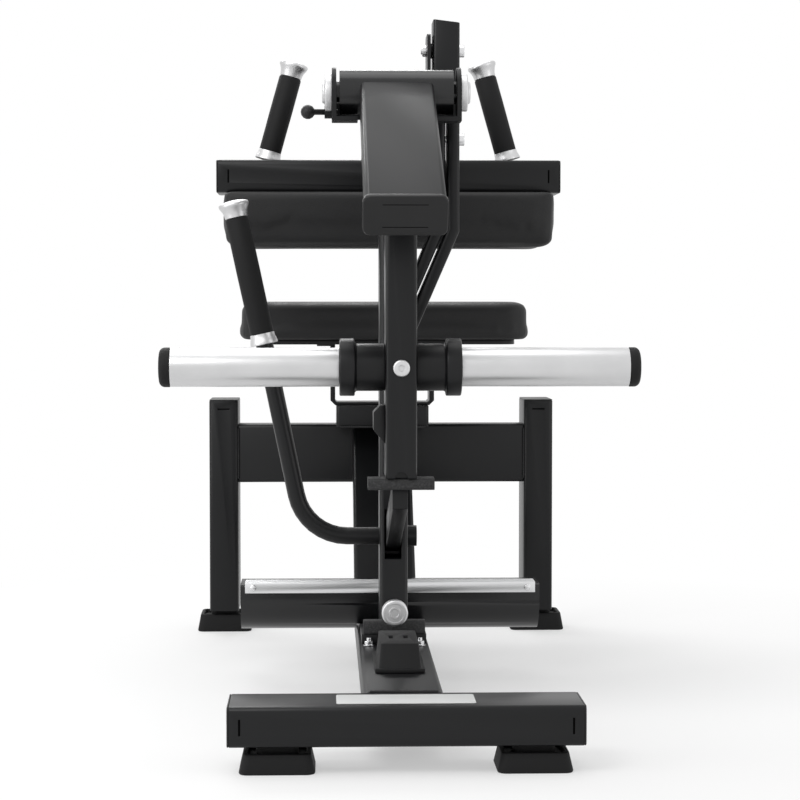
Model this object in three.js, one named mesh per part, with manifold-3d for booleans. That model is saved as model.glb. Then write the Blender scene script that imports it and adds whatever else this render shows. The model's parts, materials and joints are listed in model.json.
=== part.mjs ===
// Seated calf raise machine, in millimetres. X runs to the right, Y back from the front bar, Z up.
// The weight lever swings on the upper cross pivot and its heel lifts the toe of the pad lever.
import * as THREE from 'three';
import { mergeVertices } from 'three/addons/utils/BufferGeometryUtils.js';
import Module from 'manifold-3d';

const wasm = await Module();
wasm.setup();

// Sizes that every piece shares
const clearance = 0.3;
const overrun = 5;
const roundSides = 28;
const smallSides = 16;
const gripSides = 20;
const barrelSides = 36;
const cornerSteps = 3;
const X_AXIS = new THREE.Vector3(1, 0, 0);
const Y_AXIS = new THREE.Vector3(0, 1, 0);
const Z_AXIS = new THREE.Vector3(0, 0, 1);
const SIDES = { left: -1, right: 1 };

// Base frame of flat rectangular tube
const rail = { width: 100, height: 50, corner: 6 };
const crossbar = { halfLength: 215, slotInset: 13, slotWidth: 2.5, slotHeight: 20, slotDepth: 2 };
const shoe = {
  width: 93, depth: 82, height: 35, corner: 9, rim: 7, shoulder: 22, taper: 5, bossInset: 9, bossLean: 1,
};
const frontShoe = { spread: 157 };
const brace = { meetDepth: 920, slopeDegrees: 45 };
const crossbeam = { frontDepth: 1190, thickness: 50, underside: 260, height: 101 };
const upright = { innerSpread: 247, thickness: 50, depth: 100, frontDepth: 1185, top: 401, corner: 6 };
const rearShoe = { height: 37 };
const uprightSlot = { width: 21, height: 2.5, depth: 2, belowTop: 13 };
const railTop = shoe.height + rail.height;

// Main post with its foot plate
const post = {
  width: 40, depth: 80, frontDepth: 505, top: 823, corner: 5, plateHalfWidth: 46, plateReach: 12,
  plateThickness: 14,
};

// The linkage keeps its place on the post: depths ahead of the post's front face and behind it
const ahead = {
  pivot: 105, cradleFloor: 97, heel: 10, lockPin: 73, hangArm: 315, horn: 265, toeRoller: 23, catchTip: 290,
  stopBlock: 267,
};
const behind = {
  padPivot: 60, bumper: 67, padTube: 237, thighPad: 187, padHandle: 287, releaseShaft: 40, fingerSlot: 66,
  footRest: 167,
};

// Foot rest, a rolled plate with end cheeks, and its tread
const footRest = {
  halfWidth: 225, frontDepth: post.frontDepth + behind.footRest, top: 148, underside: 75, plate: 4,
  shelf: 74, straightDrop: 20,
  nose: 5, cheek: 6, cheekTail: 26,
};
const tread = {
  halfWidth: 218, thickness: 3, faceHeight: 16, shelf: 34, screwInset: 12, screwRadius: 5, screwHeight: 3,
};

// Band peg and bolt of the post
const bandPeg = { halfLength: 44, height: 20, depth: 18, corner: 3 };
const postBolt = {
  height: 134, headRadius: 18.5, headThickness: 15, reach: 50, shankRadius: 6.5, edge: 2, dimple: 5,
  dimpleDepth: 1.5, washerRadius: 13, washerThickness: 6,
};
const stopBlock = {
  frontDepth: post.frontDepth - ahead.stopBlock, length: 152, height: 37, baseHalf: 33, topHalf: 25,
  lip: 6, lean: 16, corner: 4,
  slotLength: 26, slotWidth: 6, slotDepth: 4, slotSpread: 20,
};

// Upper cross pivot of the weight lever
const pivot = {
  depth: post.frontDepth - ahead.pivot, height: 858, shaftRadius: 12.5, boreRadius: 13, barrelRadius: 31,
  barrelHalf: 77.5,
};
const cradle = {
  earInner: 82, earThickness: 6, earRadius: 34, floorTop: 823, floorThickness: 6,
  floorBack: post.frontDepth - ahead.cradleFloor, floorGap: 3,
  wallThickness: 6, wallUnderside: 770, wallTop: 822.7, wallHalf: 46, throatHalf: 32,
  shoulderUnderside: 829, shoulderTop: 856,
};
const pivotCap = { radius: 25.5, rim: 6, rise: 10, crownRadius: 17 };
const heel = { halfWidth: 15, thickness: 16, backDepth: post.frontDepth - ahead.heel, top: 846 };
const bearingCollar = { radius: 15.5 };

// Spring pin on the left ear
const lockPin = {
  depth: post.frontDepth - ahead.lockPin, height: 834, stemRadius: 4, holeRadius: 4.4, tip: 80,
  collarRadius: 9, collarLength: 10,
  knobRadius: 10, knobCentre: 121,
};

// Weight lever: sloping box arm, hanging arm and the two weight horns
const boxArm = {
  width: 100, height: 50, corner: 6, slopeDegrees: 27.4, reach: 393, axisDrop: 1.2, rootReach: 15,
};
const boxCap = { width: 105, height: 53, corner: 9, thickness: 8, bevel: 1.5 };
const hangArm = {
  width: 40, depth: 100, corner: 5, frontDepth: post.frontDepth - ahead.hangArm, underside: 345,
  notchRadius: 8,
};
const catchBar = { halfLength: 43, height: 15, depth: 40, corner: 3, inset: 6 };
const striker = { depth: 46, thickness: 15, underside: 388, height: 50, slant: 9 };
const horn = {
  height: 487, depth: post.frontDepth - ahead.horn, hubRadius: 31, hubLength: 39, flangeRadius: 37.5,
  flangeEdge: 2, flangeLength: 20,
  sleeveRadius: 25.4, sleeveEnd: 299, sleeveEdge: 1, capRadius: 25.8, capLength: 15, capRound: 8,
  boltRadius: 11, boltHeight: 5, boltEdge: 1.5,
};

// Side post behind the right ear, with the pivot plate of the pad lever
const padPivot = { depth: post.frontDepth + behind.padPivot, height: 870 };
const sideTube = {
  innerSpread: 57.6, thickness: 17.4, gap: 3, depth: 60, corner: 5, top: 835, bendHeight: 679,
  slantDegrees: 23.5,
};
const sideHead = { top: 973, corner: 4, topSlantDegrees: 7 };
const pivotPlate = { thickness: 5, standOff: 3.6, top: 955, underside: 795, corner: 8, bossRadius: 11 };
const plateBolt = {
  upperHeight: 933, lowerHeight: 806.5, radius: 5, holeRadius: 5.5, headRadius: 9, headThickness: 8,
  nutRadius: 8.5, nutThickness: 8,
};
const padShaft = { radius: 12.5, seat: 24, shoulderRadius: 19, headRadius: 19, headThickness: 4 };
const bumper = { radius: 9, spread: 9, depth: post.frontDepth + behind.bumper };

// Pad lever
const padArm = {
  hubRadius: 28, hubLeft: -22, hubRight: 45, armLeft: -2, armHeight: 42, armCorner: 5, boreRadius: 13,
  cheekSpread: 16, cheekThickness: 6, cheekHeight: 24,
};
const toeRoller = { depth: post.frontDepth - ahead.toeRoller, radius: 12 };
const padTube = {
  halfLength: 260, depth: 100, height: 50, corner: 6, frontDepth: post.frontDepth + behind.padTube,
  underside: 738, slotInset: 16,
};
const thighPad = {
  halfLength: 252, depth: 190, height: 83, corner: 20, lowerRound: 15, upperRound: 5, crown: 5, drawIn: 3,
  frontDepth: post.frontDepth + behind.thighPad,
};
const padHandle = {
  footSpread: 186, topSpread: 150, top: 917, middleDepth: post.frontDepth + behind.padHandle,
  stemRadius: 12.5, collarRadius: 19,
  collarLength: 13, gripRadius: 17, ringRadius: 18.4, ringHeight: 5,
};
const flaredCap = { neckRadius: 15.5, rimRadius: 22, length: 21, crown: 5, rimBand: 4 };

// Release handle on the cross shaft through the post
const releaseShaft = {
  depth: post.frontDepth + behind.releaseShaft, height: 234.5, radius: 12.5, holeRadius: 13, rightEnd: 34,
};
const releaseCollar = { radius: 15 };
const releaseRoute = {
  cornerSpread: 127, kneeSpread: 171, kneeHeight: 448, gripHeight: 511, topSpread: 224, topHeight: 692,
  bendRadius: 75,
};
const catchFinger = {
  left: -11, right: 9, hubRadius: 22, tipDepth: post.frontDepth - ahead.catchTip, tipHeight: 26,
  sideGap: 2, tipLength: 46,
  tangentDegrees: 100,
};
const fingerSlot = { underside: 205, top: 276, backDepth: post.frontDepth + behind.fingerSlot };

// Seat
const pedestal = { halfWidth: 78, frontDepth: 1100, height: 35, corner: 5 };
const hoop = {
  legInner: 80, bar: 8, floor: 5, frontDepth: 1120, depth: 70, flangeReach: 111, top: 502, bend: 8,
};
const seatBase = { halfWidth: 215, frontDepth: 985, backDepth: 1268, thickness: 8, corner: 25 };
const seat = {
  halfWidth: 239, frontDepth: 952, backDepth: 1300, height: 62, corner: 34, lowerRound: 10, upperRound: 15,
  crown: 7, drawIn: 5,
};

// Finishes
const black = { color: 0x16171a, roughness: 0.42, metalness: 0.3 };
const rubber = { color: 0x121213, roughness: 0.8, metalness: 0 };
const leather = { color: 0x17181a, roughness: 0.55, metalness: 0 };
const chrome = { color: 0xd8dade, roughness: 0.18, metalness: 1 };
const aluminium = { color: 0xc3c6ca, roughness: 0.35, metalness: 1 };

const machine = new THREE.Group();

// Merges shared vertices, drops flat triangles and turns the faces outwards.
function closed(geometry) {
  const bare = geometry.clone();
  bare.deleteAttribute('normal');
  bare.deleteAttribute('uv');
  const merged = mergeVertices(bare);
  const position = merged.getAttribute('position');
  const index = merged.getIndex().array;
  const kept = [];
  const [a, b, c] = [new THREE.Vector3(), new THREE.Vector3(), new THREE.Vector3()];
  let volume = 0;
  for (let i = 0; i < index.length; i += 3) {
    const corners = [index[i], index[i + 1], index[i + 2]];
    if (new Set(corners).size < corners.length) continue;
    kept.push(...corners);
    a.fromBufferAttribute(position, corners[0]);
    b.fromBufferAttribute(position, corners[1]);
    c.fromBufferAttribute(position, corners[2]);
    volume += a.dot(b.cross(c));
  }
  if (volume < 0) kept.reverse();
  merged.setIndex(kept);
  return merged;
}

function solid(geometry) {
  const sealed = closed(geometry);
  return new wasm.Manifold(new wasm.Mesh({
    numProp: 3,
    vertProperties: new Float32Array(sealed.getAttribute('position').array),
    triVerts: new Uint32Array(sealed.getIndex().array),
  }));
}

function shell(body) {
  const mesh = body.getMesh();
  const geometry = new THREE.BufferGeometry();
  geometry.setAttribute('position', new THREE.BufferAttribute(mesh.vertProperties, mesh.numProp));
  geometry.setIndex(new THREE.BufferAttribute(mesh.triVerts, 1));
  return geometry;
}

function cut(geometry, ...tools) {
  return shell(tools.reduce((body, tool) => body.subtract(solid(tool)), solid(geometry)));
}

function join(...geometries) {
  return shell(geometries.slice(1).reduce((body, other) => body.add(solid(other)), solid(geometries[0])));
}

function add(name, geometry, finish) {
  const mesh = new THREE.Mesh(closed(geometry), new THREE.MeshStandardMaterial(finish));
  mesh.name = name;
  machine.add(mesh);
  return mesh;
}

// Closed body through rings of equal counts, flat at both ends.
function loft(rings) {
  const count = rings[0].length;
  const positions = rings.flat().flatMap((point) => point.toArray());
  const index = [];
  for (let i = 0; i + 1 < rings.length; i += 1) {
    for (let j = 0; j < count; j += 1) {
      const next = (j + 1) % count;
      const low = i * count;
      const high = low + count;
      index.push(low + j, low + next, high + next, low + j, high + next, high + j);
    }
  }
  const last = (rings.length - 1) * count;
  for (let j = 1; j + 1 < count; j += 1) {
    index.push(0, j + 1, j, last, last + j, last + j + 1);
  }
  const geometry = new THREE.BufferGeometry();
  geometry.setAttribute('position', new THREE.Float32BufferAttribute(positions, 3));
  geometry.setIndex(index);
  return geometry;
}

// Outline of a rectangle with round corners, with extra points along its sides where a form needs them.
function roundedOutline(width, height, corner, steps = cornerSteps, sideSteps = 1) {
  const points = [];
  const reach = [width / 2 - corner, height / 2 - corner];
  const signs = [[1, 1], [-1, 1], [-1, -1], [1, -1]];
  signs.forEach(([signX, signY], quarter) => {
    const centre = new THREE.Vector2(signX * reach[0], signY * reach[1]);
    for (let i = 0; i <= steps; i += 1) {
      const turn = (quarter + i / steps) * Math.PI / 2;
      points.push(new THREE.Vector2(Math.cos(turn), Math.sin(turn)).multiplyScalar(corner).add(centre));
    }
    const [nextX, nextY] = signs[(quarter + 1) % signs.length];
    const turn = (quarter + 1) * Math.PI / 2;
    const last = points[points.length - 1].clone();
    const next = new THREE.Vector2(Math.cos(turn), Math.sin(turn)).multiplyScalar(corner);
    next.add(new THREE.Vector2(nextX * reach[0], nextY * reach[1]));
    for (let i = 1; i < sideSteps; i += 1) points.push(last.clone().lerp(next, i / sideSteps));
  });
  return points;
}

function circleOutline(radius, sides = roundSides) {
  const points = [];
  for (let i = 0; i < sides; i += 1) {
    const turn = i / sides * Math.PI * 2;
    points.push(new THREE.Vector2(Math.cos(turn), Math.sin(turn)).multiplyScalar(radius));
  }
  return points;
}

// Runs a section along a flat path, mitred at each corner. The outline's first axis lies along side.
function run(outline, path, side, startNormal = null, endNormal = null) {
  const heading = (from, to) => to.clone().sub(from).normalize();
  const rings = path.map((point, i) => {
    const after = i + 1 < path.length ? heading(point, path[i + 1]) : heading(path[i - 1], point);
    const before = i > 0 ? heading(path[i - 1], point) : after;
    let normal = before.clone().add(after);
    if (i === 0 && startNormal) normal = startNormal;
    if (i === path.length - 1 && endNormal) normal = endNormal;
    const up = before.clone().cross(side).normalize();
    return outline.map((corner) => {
      const spot = side.clone().multiplyScalar(corner.x).addScaledVector(up, corner.y);
      const slide = -spot.dot(normal) / before.dot(normal);
      return spot.addScaledVector(before, slide).add(point);
    });
  });
  return loft(rings);
}

// Rounds the inner corners of a path with arcs.
function filleted(points, radius, steps) {
  const path = [points[0]];
  for (let i = 1; i + 1 < points.length; i += 1) {
    const back = points[i - 1].clone().sub(points[i]).normalize();
    const ahead = points[i + 1].clone().sub(points[i]).normalize();
    const halfAngle = back.angleTo(ahead) / 2;
    const centreWay = back.clone().add(ahead).normalize();
    const centre = points[i].clone().addScaledVector(centreWay, radius / Math.sin(halfAngle));
    const start = points[i].clone().addScaledVector(back, radius / Math.tan(halfAngle)).sub(centre);
    const end = points[i].clone().addScaledVector(ahead, radius / Math.tan(halfAngle)).sub(centre);
    const axis = start.clone().cross(end).normalize();
    const sweep = start.angleTo(end);
    for (let j = 0; j <= steps; j += 1) {
      path.push(start.clone().applyAxisAngle(axis, sweep * j / steps).add(centre));
    }
  }
  path.push(points[points.length - 1]);
  return path;
}

// Revolves a profile of [radius, length] points and lays its axis along direction.
function turned(profile, origin, direction, sides = roundSides) {
  const points = profile.map(([radius, length]) => new THREE.Vector2(radius, length));
  const geometry = new THREE.LatheGeometry(points, sides);
  geometry.applyQuaternion(new THREE.Quaternion().setFromUnitVectors(Y_AXIS, direction.clone().normalize()));
  geometry.translate(origin.x, origin.y, origin.z);
  return geometry;
}

function rod(radius, from, to, sides = roundSides) {
  const direction = to.clone().sub(from);
  const length = direction.length();
  return turned([[0, 0], [radius, 0], [radius, length], [0, length]], from, direction, sides);
}

function ring(innerRadius, outerRadius, from, to, sides = roundSides) {
  const direction = to.clone().sub(from);
  const length = direction.length();
  const profile = [
    [innerRadius, 0], [outerRadius, 0], [outerRadius, length], [innerRadius, length], [innerRadius, 0],
  ];
  return turned(profile, from, direction, sides);
}

function block(left, right, front, back, low, high) {
  const geometry = new THREE.BoxGeometry(right - left, back - front, high - low);
  geometry.translate((left + right) / 2, (front + back) / 2, (low + high) / 2);
  return geometry;
}

// Side profile, drawn as depth and height, pushed across the machine.
function acrossPlate(points, left, right, curveSegments = cornerSteps) {
  const shape = points instanceof THREE.Shape ? points : new THREE.Shape(points);
  const options = { depth: right - left, bevelEnabled: false, curveSegments };
  const geometry = new THREE.ExtrudeGeometry(shape, options);
  geometry.applyMatrix4(new THREE.Matrix4().makeBasis(Y_AXIS, Z_AXIS, X_AXIS));
  geometry.translate(left, 0, 0);
  return geometry;
}

// Front profile, drawn as spread and height, pushed back through the machine.
function deepPlate(points, front, back) {
  const shape = points instanceof THREE.Shape ? points : new THREE.Shape(points);
  const geometry = new THREE.ExtrudeGeometry(shape, { depth: back - front, bevelEnabled: false });
  geometry.rotateX(Math.PI / 2);
  geometry.translate(0, back, 0);
  return geometry;
}

// Levels of [height, width, depth, corner] stacked on one centre.
function stacked(levels, centre) {
  return loft(levels.map(([height, width, depth, corner]) => (
    roundedOutline(width, depth, corner).map((p) => new THREE.Vector3(p.x, p.y, height).add(centre))
  )));
}

// Padded block: sides draw in between the corners and the free face has a crown. It stands on its flat face.
function cushion(width, depth, height, form) {
  const sideSteps = 6;
  const arcSteps = 3;
  const domeShares = [0.86, 0.66, 0.4, 0.16];
  const outline = roundedOutline(width, depth, form.corner, cornerSteps + 1, sideSteps);
  const pull = (point, inset, level, share) => {
    const u = point.x * 2 / width;
    const v = point.y * 2 / depth;
    const x = point.x * (1 - inset * 2 / width) * (1 - form.drawIn * 2 / width * (1 - v * v));
    const y = point.y * (1 - inset * 2 / depth) * (1 - form.drawIn * 2 / depth * (1 - u * u));
    return new THREE.Vector3(x * share, y * share, level);
  };
  const rings = [];
  for (let i = 0; i <= arcSteps; i += 1) {
    const turn = i / arcSteps * Math.PI / 2;
    const inset = form.flatRound * (1 - Math.sin(turn));
    rings.push(outline.map((p) => pull(p, inset, form.flatRound * (1 - Math.cos(turn)), 1)));
  }
  const shoulder = height - form.crown;
  for (let i = 0; i <= arcSteps; i += 1) {
    const turn = i / arcSteps * Math.PI / 2;
    const inset = form.freeRound * (1 - Math.cos(turn));
    rings.push(outline.map((p) => pull(p, inset, shoulder - form.freeRound * (1 - Math.sin(turn)), 1)));
  }
  domeShares.forEach((share) => {
    const level = height - form.crown * share * share;
    rings.push(outline.map((p) => pull(p, form.freeRound, level, share)));
  });
  return loft(rings);
}

const at = (x, y, z) => new THREE.Vector3(x, y, z);
const radians = THREE.MathUtils.degToRad;

// Rubber shoe under a tube end, with a low rim and a raised boss that carries the tube
function shoeForm(height, spread, depth) {
  const bossTop = height - clearance;
  const slim = shoe.taper * 2;
  const boss = shoe.bossInset * 2;
  return stacked([
    [0, shoe.width, shoe.depth, shoe.corner],
    [shoe.rim, shoe.width, shoe.depth, shoe.corner],
    [shoe.shoulder, shoe.width - slim, shoe.depth - slim, shoe.corner],
    [shoe.shoulder, shoe.width - boss, shoe.depth - boss, shoe.corner],
    [bossTop, shoe.width - boss - shoe.bossLean, shoe.depth - boss - shoe.bossLean, shoe.corner],
  ], at(spread, depth, 0));
}

// Front bar with a punched slot near each end of its face
const barMiddle = at(0, rail.width / 2, shoe.height + rail.height / 2);
const frontBar = run(
  roundedOutline(rail.width, rail.height, rail.corner),
  [barMiddle.clone().setX(-crossbar.halfLength), barMiddle.clone().setX(crossbar.halfLength)],
  Y_AXIS,
);
const barSlots = Object.values(SIDES).map((side) => {
  const middle = side * (crossbar.halfLength - crossbar.slotInset);
  const halfWidth = crossbar.slotWidth / 2;
  const halfHeight = crossbar.slotHeight / 2;
  const [low, high] = [barMiddle.z - halfHeight, barMiddle.z + halfHeight];
  return block(middle - halfWidth, middle + halfWidth, -overrun, crossbar.slotDepth, low, high);
});
add('front_crossbar', cut(frontBar, ...barSlots), black);
for (const [name, side] of Object.entries(SIDES)) {
  add(`front_foot_${name}`, shoeForm(shoe.height, side * frontShoe.spread, rail.width / 2), rubber);
}

// Base beam and 45 degree brace, mitred to each other
const slope = radians(brace.slopeDegrees);
const braceWay = at(0, Math.cos(slope), Math.sin(slope));
const mitreNormal = braceWay.clone().add(Y_AXIS).normalize();
const halfRail = rail.height / 2;
const beamMiddle = shoe.height + halfRail;
const cornerSlide = halfRail * Math.tan(slope / 2);
const mitreSpot = at(0, brace.meetDepth + cornerSlide, beamMiddle);
const mitreGap = mitreNormal.clone().multiplyScalar(clearance);
add('base_beam', run(
  roundedOutline(rail.width, rail.height, rail.corner),
  [at(0, rail.width + clearance, beamMiddle), mitreSpot],
  X_AXIS, Y_AXIS, mitreNormal,
), black);
const braceEndDepth = crossbeam.frontDepth - clearance;
const braceRun = (braceEndDepth - mitreSpot.y) / Math.cos(slope);
add('rear_brace', run(
  roundedOutline(rail.width, rail.height, rail.corner),
  [mitreSpot.clone().add(mitreGap), mitreSpot.clone().addScaledVector(braceWay, braceRun)],
  X_AXIS, mitreNormal, Y_AXIS,
), black);

// Rear crossbeam between the two uprights
const crossbeamTop = crossbeam.underside + crossbeam.height;
const crossbeamMiddle = at(
  0, crossbeam.frontDepth + crossbeam.thickness / 2, crossbeam.underside + crossbeam.height / 2,
);
const crossbeamReach = upright.innerSpread - clearance;
add('rear_crossbeam', run(
  roundedOutline(crossbeam.thickness, crossbeam.height, rail.corner),
  [crossbeamMiddle.clone().setX(-crossbeamReach), crossbeamMiddle.clone().setX(crossbeamReach)],
  Y_AXIS,
), black);
for (const [name, side] of Object.entries(SIDES)) {
  const spread = side * (upright.innerSpread + upright.thickness / 2);
  const middleDepth = upright.frontDepth + upright.depth / 2;
  const tube = run(
    roundedOutline(upright.thickness, upright.depth, upright.corner),
    [at(spread, middleDepth, rearShoe.height), at(spread, middleDepth, upright.top)],
    X_AXIS,
  );
  const slotHigh = upright.top - uprightSlot.belowTop;
  const slot = block(
    spread - uprightSlot.width / 2, spread + uprightSlot.width / 2,
    upright.frontDepth - overrun, upright.frontDepth + uprightSlot.depth,
    slotHigh - uprightSlot.height, slotHigh,
  );
  add(`rear_upright_${name}`, cut(tube, slot), black);
  add(`rear_foot_${name}`, shoeForm(rearShoe.height, spread, middleDepth), rubber);
}

// Foot rest: a plate rolled over a quarter round, closed by a cheek at each end and notched over the beam
function footRestOutline(inset) {
  const shape = new THREE.Shape();
  const front = footRest.frontDepth + inset;
  const top = footRest.top - inset;
  const arcTop = footRest.top - footRest.straightDrop;
  const radius = arcTop - footRest.underside - inset;
  const nose = Math.max(footRest.nose - inset, clearance);
  shape.moveTo(footRest.frontDepth + footRest.shelf, top);
  shape.lineTo(front + nose, top);
  shape.absarc(front + nose, top - nose, nose, Math.PI / 2, Math.PI, false);
  shape.lineTo(front, arcTop);
  shape.absarc(front + radius, arcTop, radius, Math.PI, Math.PI * 1.5, false);
  return shape;
}
const arcSteps = 8;
const outer = footRestOutline(0).getPoints(arcSteps);
const inner = footRestOutline(footRest.plate).getPoints(arcSteps);
const rolled = acrossPlate([...outer, ...inner.reverse()], -footRest.halfWidth, footRest.halfWidth);
const cheekBack = new THREE.Vector2(footRest.frontDepth + footRest.shelf, footRest.top - footRest.cheekTail);
const cheekLow = new THREE.Vector2(footRest.frontDepth + footRest.shelf, footRest.underside);
const cheekOutline = [...outer, cheekLow, cheekBack];
const beamNotch = block(
  -rail.width / 2 - clearance, rail.width / 2 + clearance,
  footRest.frontDepth - overrun, footRest.frontDepth + footRest.shelf + overrun,
  0, railTop + clearance,
);
add('foot_rest_body', cut(join(
  rolled,
  acrossPlate(cheekOutline, -footRest.halfWidth, footRest.cheek - footRest.halfWidth),
  acrossPlate(cheekOutline, footRest.halfWidth - footRest.cheek, footRest.halfWidth),
), beamNotch), black);

// Ribbed aluminium tread along the top edge of the foot rest, held by two screws
const treadFront = footRest.frontDepth - clearance - tread.thickness;
const treadTop = footRest.top + clearance + tread.thickness;
const treadSection = [
  [treadFront, treadTop - tread.faceHeight], [treadFront, treadTop],
  [treadFront + tread.shelf, treadTop], [treadFront + tread.shelf, treadTop - tread.thickness],
  [treadFront + tread.thickness, treadTop - tread.thickness],
  [treadFront + tread.thickness, treadTop - tread.faceHeight],
].map(([depth, height]) => new THREE.Vector2(depth, height));
const treadScrews = Object.values(SIDES).map((side) => {
  const spot = at(
    side * (tread.halfWidth - tread.screwInset), treadFront + clearance, treadTop - tread.faceHeight / 2,
  );
  const reach = tread.screwHeight + clearance;
  return turned(
    [
      [0, 0], [tread.screwRadius, 0], [tread.screwRadius, tread.screwHeight / 2],
      [tread.screwRadius / 2, reach], [0, reach],
    ],
    spot, Y_AXIS.clone().negate(), smallSides,
  );
});
add(
  'foot_rest_strip', join(acrossPlate(treadSection, -tread.halfWidth, tread.halfWidth), ...treadScrews),
  aluminium,
);

// Main post on its foot plate, bored for the release shaft and slotted for the catch finger
const postMiddle = post.frontDepth + post.depth / 2;
const postFoot = railTop + clearance;
const plateTop = postFoot + post.plateThickness;
const postTube = run(
  roundedOutline(post.width, post.depth, post.corner),
  [at(0, postMiddle, postFoot + post.plateThickness / 2), at(0, postMiddle, post.top)],
  X_AXIS,
);
const footPlate = block(
  -post.plateHalfWidth, post.plateHalfWidth,
  post.frontDepth - post.plateReach, post.frontDepth + post.depth + post.plateReach,
  postFoot, plateTop,
);
const shaftSpot = at(0, releaseShaft.depth, releaseShaft.height);
const shaftBore = rod(
  releaseShaft.holeRadius,
  shaftSpot.clone().setX(-post.width), shaftSpot.clone().setX(post.width),
);
const fingerWay = block(
  catchFinger.left - catchFinger.sideGap, catchFinger.right + catchFinger.sideGap,
  post.frontDepth - overrun, fingerSlot.backDepth, fingerSlot.underside, fingerSlot.top,
);
add('main_post', cut(join(postTube, footPlate), shaftBore, fingerWay), black);

// Band peg across the foot of the post, and the big bolt above it
const pegBack = post.frontDepth - clearance;
add('lower_band_peg', run(
  roundedOutline(bandPeg.depth, bandPeg.height, bandPeg.corner),
  [-1, 1].map((side) => at(
    side * bandPeg.halfLength, pegBack - bandPeg.depth / 2, plateTop + clearance + bandPeg.height / 2,
  )),
  Y_AXIS,
), black);
const boltHeight = Math.max(
  postBolt.height, plateTop + bandPeg.height + postBolt.washerRadius + 2 * clearance,
);
add('post_bolt', turned([
  [0, 0], [postBolt.washerRadius, 0], [postBolt.washerRadius, postBolt.washerThickness],
  [postBolt.shankRadius, postBolt.washerThickness],
  [postBolt.shankRadius, postBolt.reach - postBolt.headThickness],
  [postBolt.headRadius, postBolt.reach - postBolt.headThickness],
  [postBolt.headRadius, postBolt.reach - postBolt.edge],
  [postBolt.headRadius - postBolt.edge, postBolt.reach],
  [postBolt.dimple, postBolt.reach], [postBolt.dimple, postBolt.reach - postBolt.dimpleDepth],
  [0, postBolt.reach - postBolt.dimpleDepth],
], at(0, pegBack, boltHeight), Y_AXIS.clone().negate()), chrome);

// Rubber stop block on the beam, with a flange at its foot and two pockets in its crown
const stopMiddle = at(0, stopBlock.frontDepth + stopBlock.length / 2, railTop + clearance);
const stopBody = stacked([
  [0, stopBlock.baseHalf * 2, stopBlock.length, stopBlock.corner],
  [stopBlock.lip, stopBlock.baseHalf * 2, stopBlock.length, stopBlock.corner],
  [stopBlock.lip, stopBlock.topHalf * 2 + stopBlock.lip, stopBlock.length - stopBlock.lip, stopBlock.corner],
  [stopBlock.height, stopBlock.topHalf * 2, stopBlock.length - stopBlock.lean * 2, stopBlock.corner],
], stopMiddle);
const stopTop = stopMiddle.z + stopBlock.height;
const pockets = [-1, 1].map((side) => {
  const middle = side * stopBlock.slotSpread / 2;
  return block(
    middle - stopBlock.slotWidth / 2, middle + stopBlock.slotWidth / 2,
    stopMiddle.y - stopBlock.slotLength / 2, stopMiddle.y + stopBlock.slotLength / 2,
    stopTop - stopBlock.slotDepth, stopTop + overrun,
  );
});
add('stop_block', cut(stopBody, ...pockets), rubber);

// Cradle of the cross pivot: two ears, a foot flange inside each, and a wall on the post with two shoulders
const pivotSpot = at(0, pivot.depth, pivot.height);
const earOuter = cradle.earInner + cradle.earThickness;
const earOutline = new THREE.Shape();
const earFront = pivot.depth - cradle.earRadius;
const floorUnderside = cradle.floorTop - cradle.floorThickness;
const floorInner = boxArm.width / 2 + cradle.floorGap;
earOutline.moveTo(pivot.depth + cradle.earRadius, pivot.height);
earOutline.absarc(pivot.depth, pivot.height, cradle.earRadius, 0, Math.PI, false);
earOutline.lineTo(earFront, floorUnderside);
earOutline.lineTo(cradle.floorBack, floorUnderside);
earOutline.lineTo(pegBack, cradle.shoulderUnderside);
earOutline.lineTo(pegBack, cradle.shoulderTop);
earOutline.closePath();
const wallHalfOutline = [
  [cradle.wallHalf, cradle.wallUnderside], [cradle.wallHalf, cradle.shoulderUnderside],
  [earOuter, cradle.shoulderUnderside], [earOuter, cradle.shoulderTop],
  [cradle.throatHalf, cradle.shoulderTop], [cradle.throatHalf, cradle.wallTop],
];
const wallOutline = [
  ...wallHalfOutline, ...wallHalfOutline.map(([spread, height]) => [-spread, height]).reverse(),
].map(([spread, height]) => new THREE.Vector2(spread, height));
const earSteps = 14;
const pinSpot = at(0, lockPin.depth, lockPin.height);
const pinCollarEnd = earOuter + lockPin.collarLength;
const cradleBody = join(
  acrossPlate(earOutline, -earOuter, -cradle.earInner, earSteps),
  acrossPlate(earOutline, cradle.earInner, earOuter, earSteps),
  block(-earOuter, -floorInner, earFront, cradle.floorBack, floorUnderside, cradle.floorTop),
  block(floorInner, earOuter, earFront, cradle.floorBack, floorUnderside, cradle.floorTop),
  deepPlate(wallOutline, pegBack - cradle.wallThickness, pegBack),
  rod(
    lockPin.collarRadius, pinSpot.clone().setX(-cradle.earInner), pinSpot.clone().setX(-pinCollarEnd),
    smallSides,
  ),
);
add('pivot_cradle', cut(
  cradleBody,
  rod(
    pivot.boreRadius, pivotSpot.clone().setX(-earOuter - overrun),
    pivotSpot.clone().setX(earOuter + overrun),
  ),
  rod(
    lockPin.holeRadius, pinSpot.clone().setX(-cradle.earInner + overrun),
    pinSpot.clone().setX(-pinCollarEnd - overrun), smallSides,
  ),
), black);
add('pivot_shaft', rod(
  pivot.shaftRadius, pivotSpot.clone().setX(-earOuter), pivotSpot.clone().setX(earOuter),
), chrome);
for (const [name, side] of Object.entries(SIDES)) {
  add(`pivot_cap_${name}`, turned([
    [0, 0], [pivotCap.radius, 0], [pivotCap.radius, pivotCap.rim],
    [pivotCap.crownRadius, pivotCap.rise], [0, pivotCap.rise + pivotCap.rim / 2],
  ], pivotSpot.clone().setX(side * (earOuter + clearance)), X_AXIS.clone().multiplyScalar(side)), chrome);
}

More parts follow.
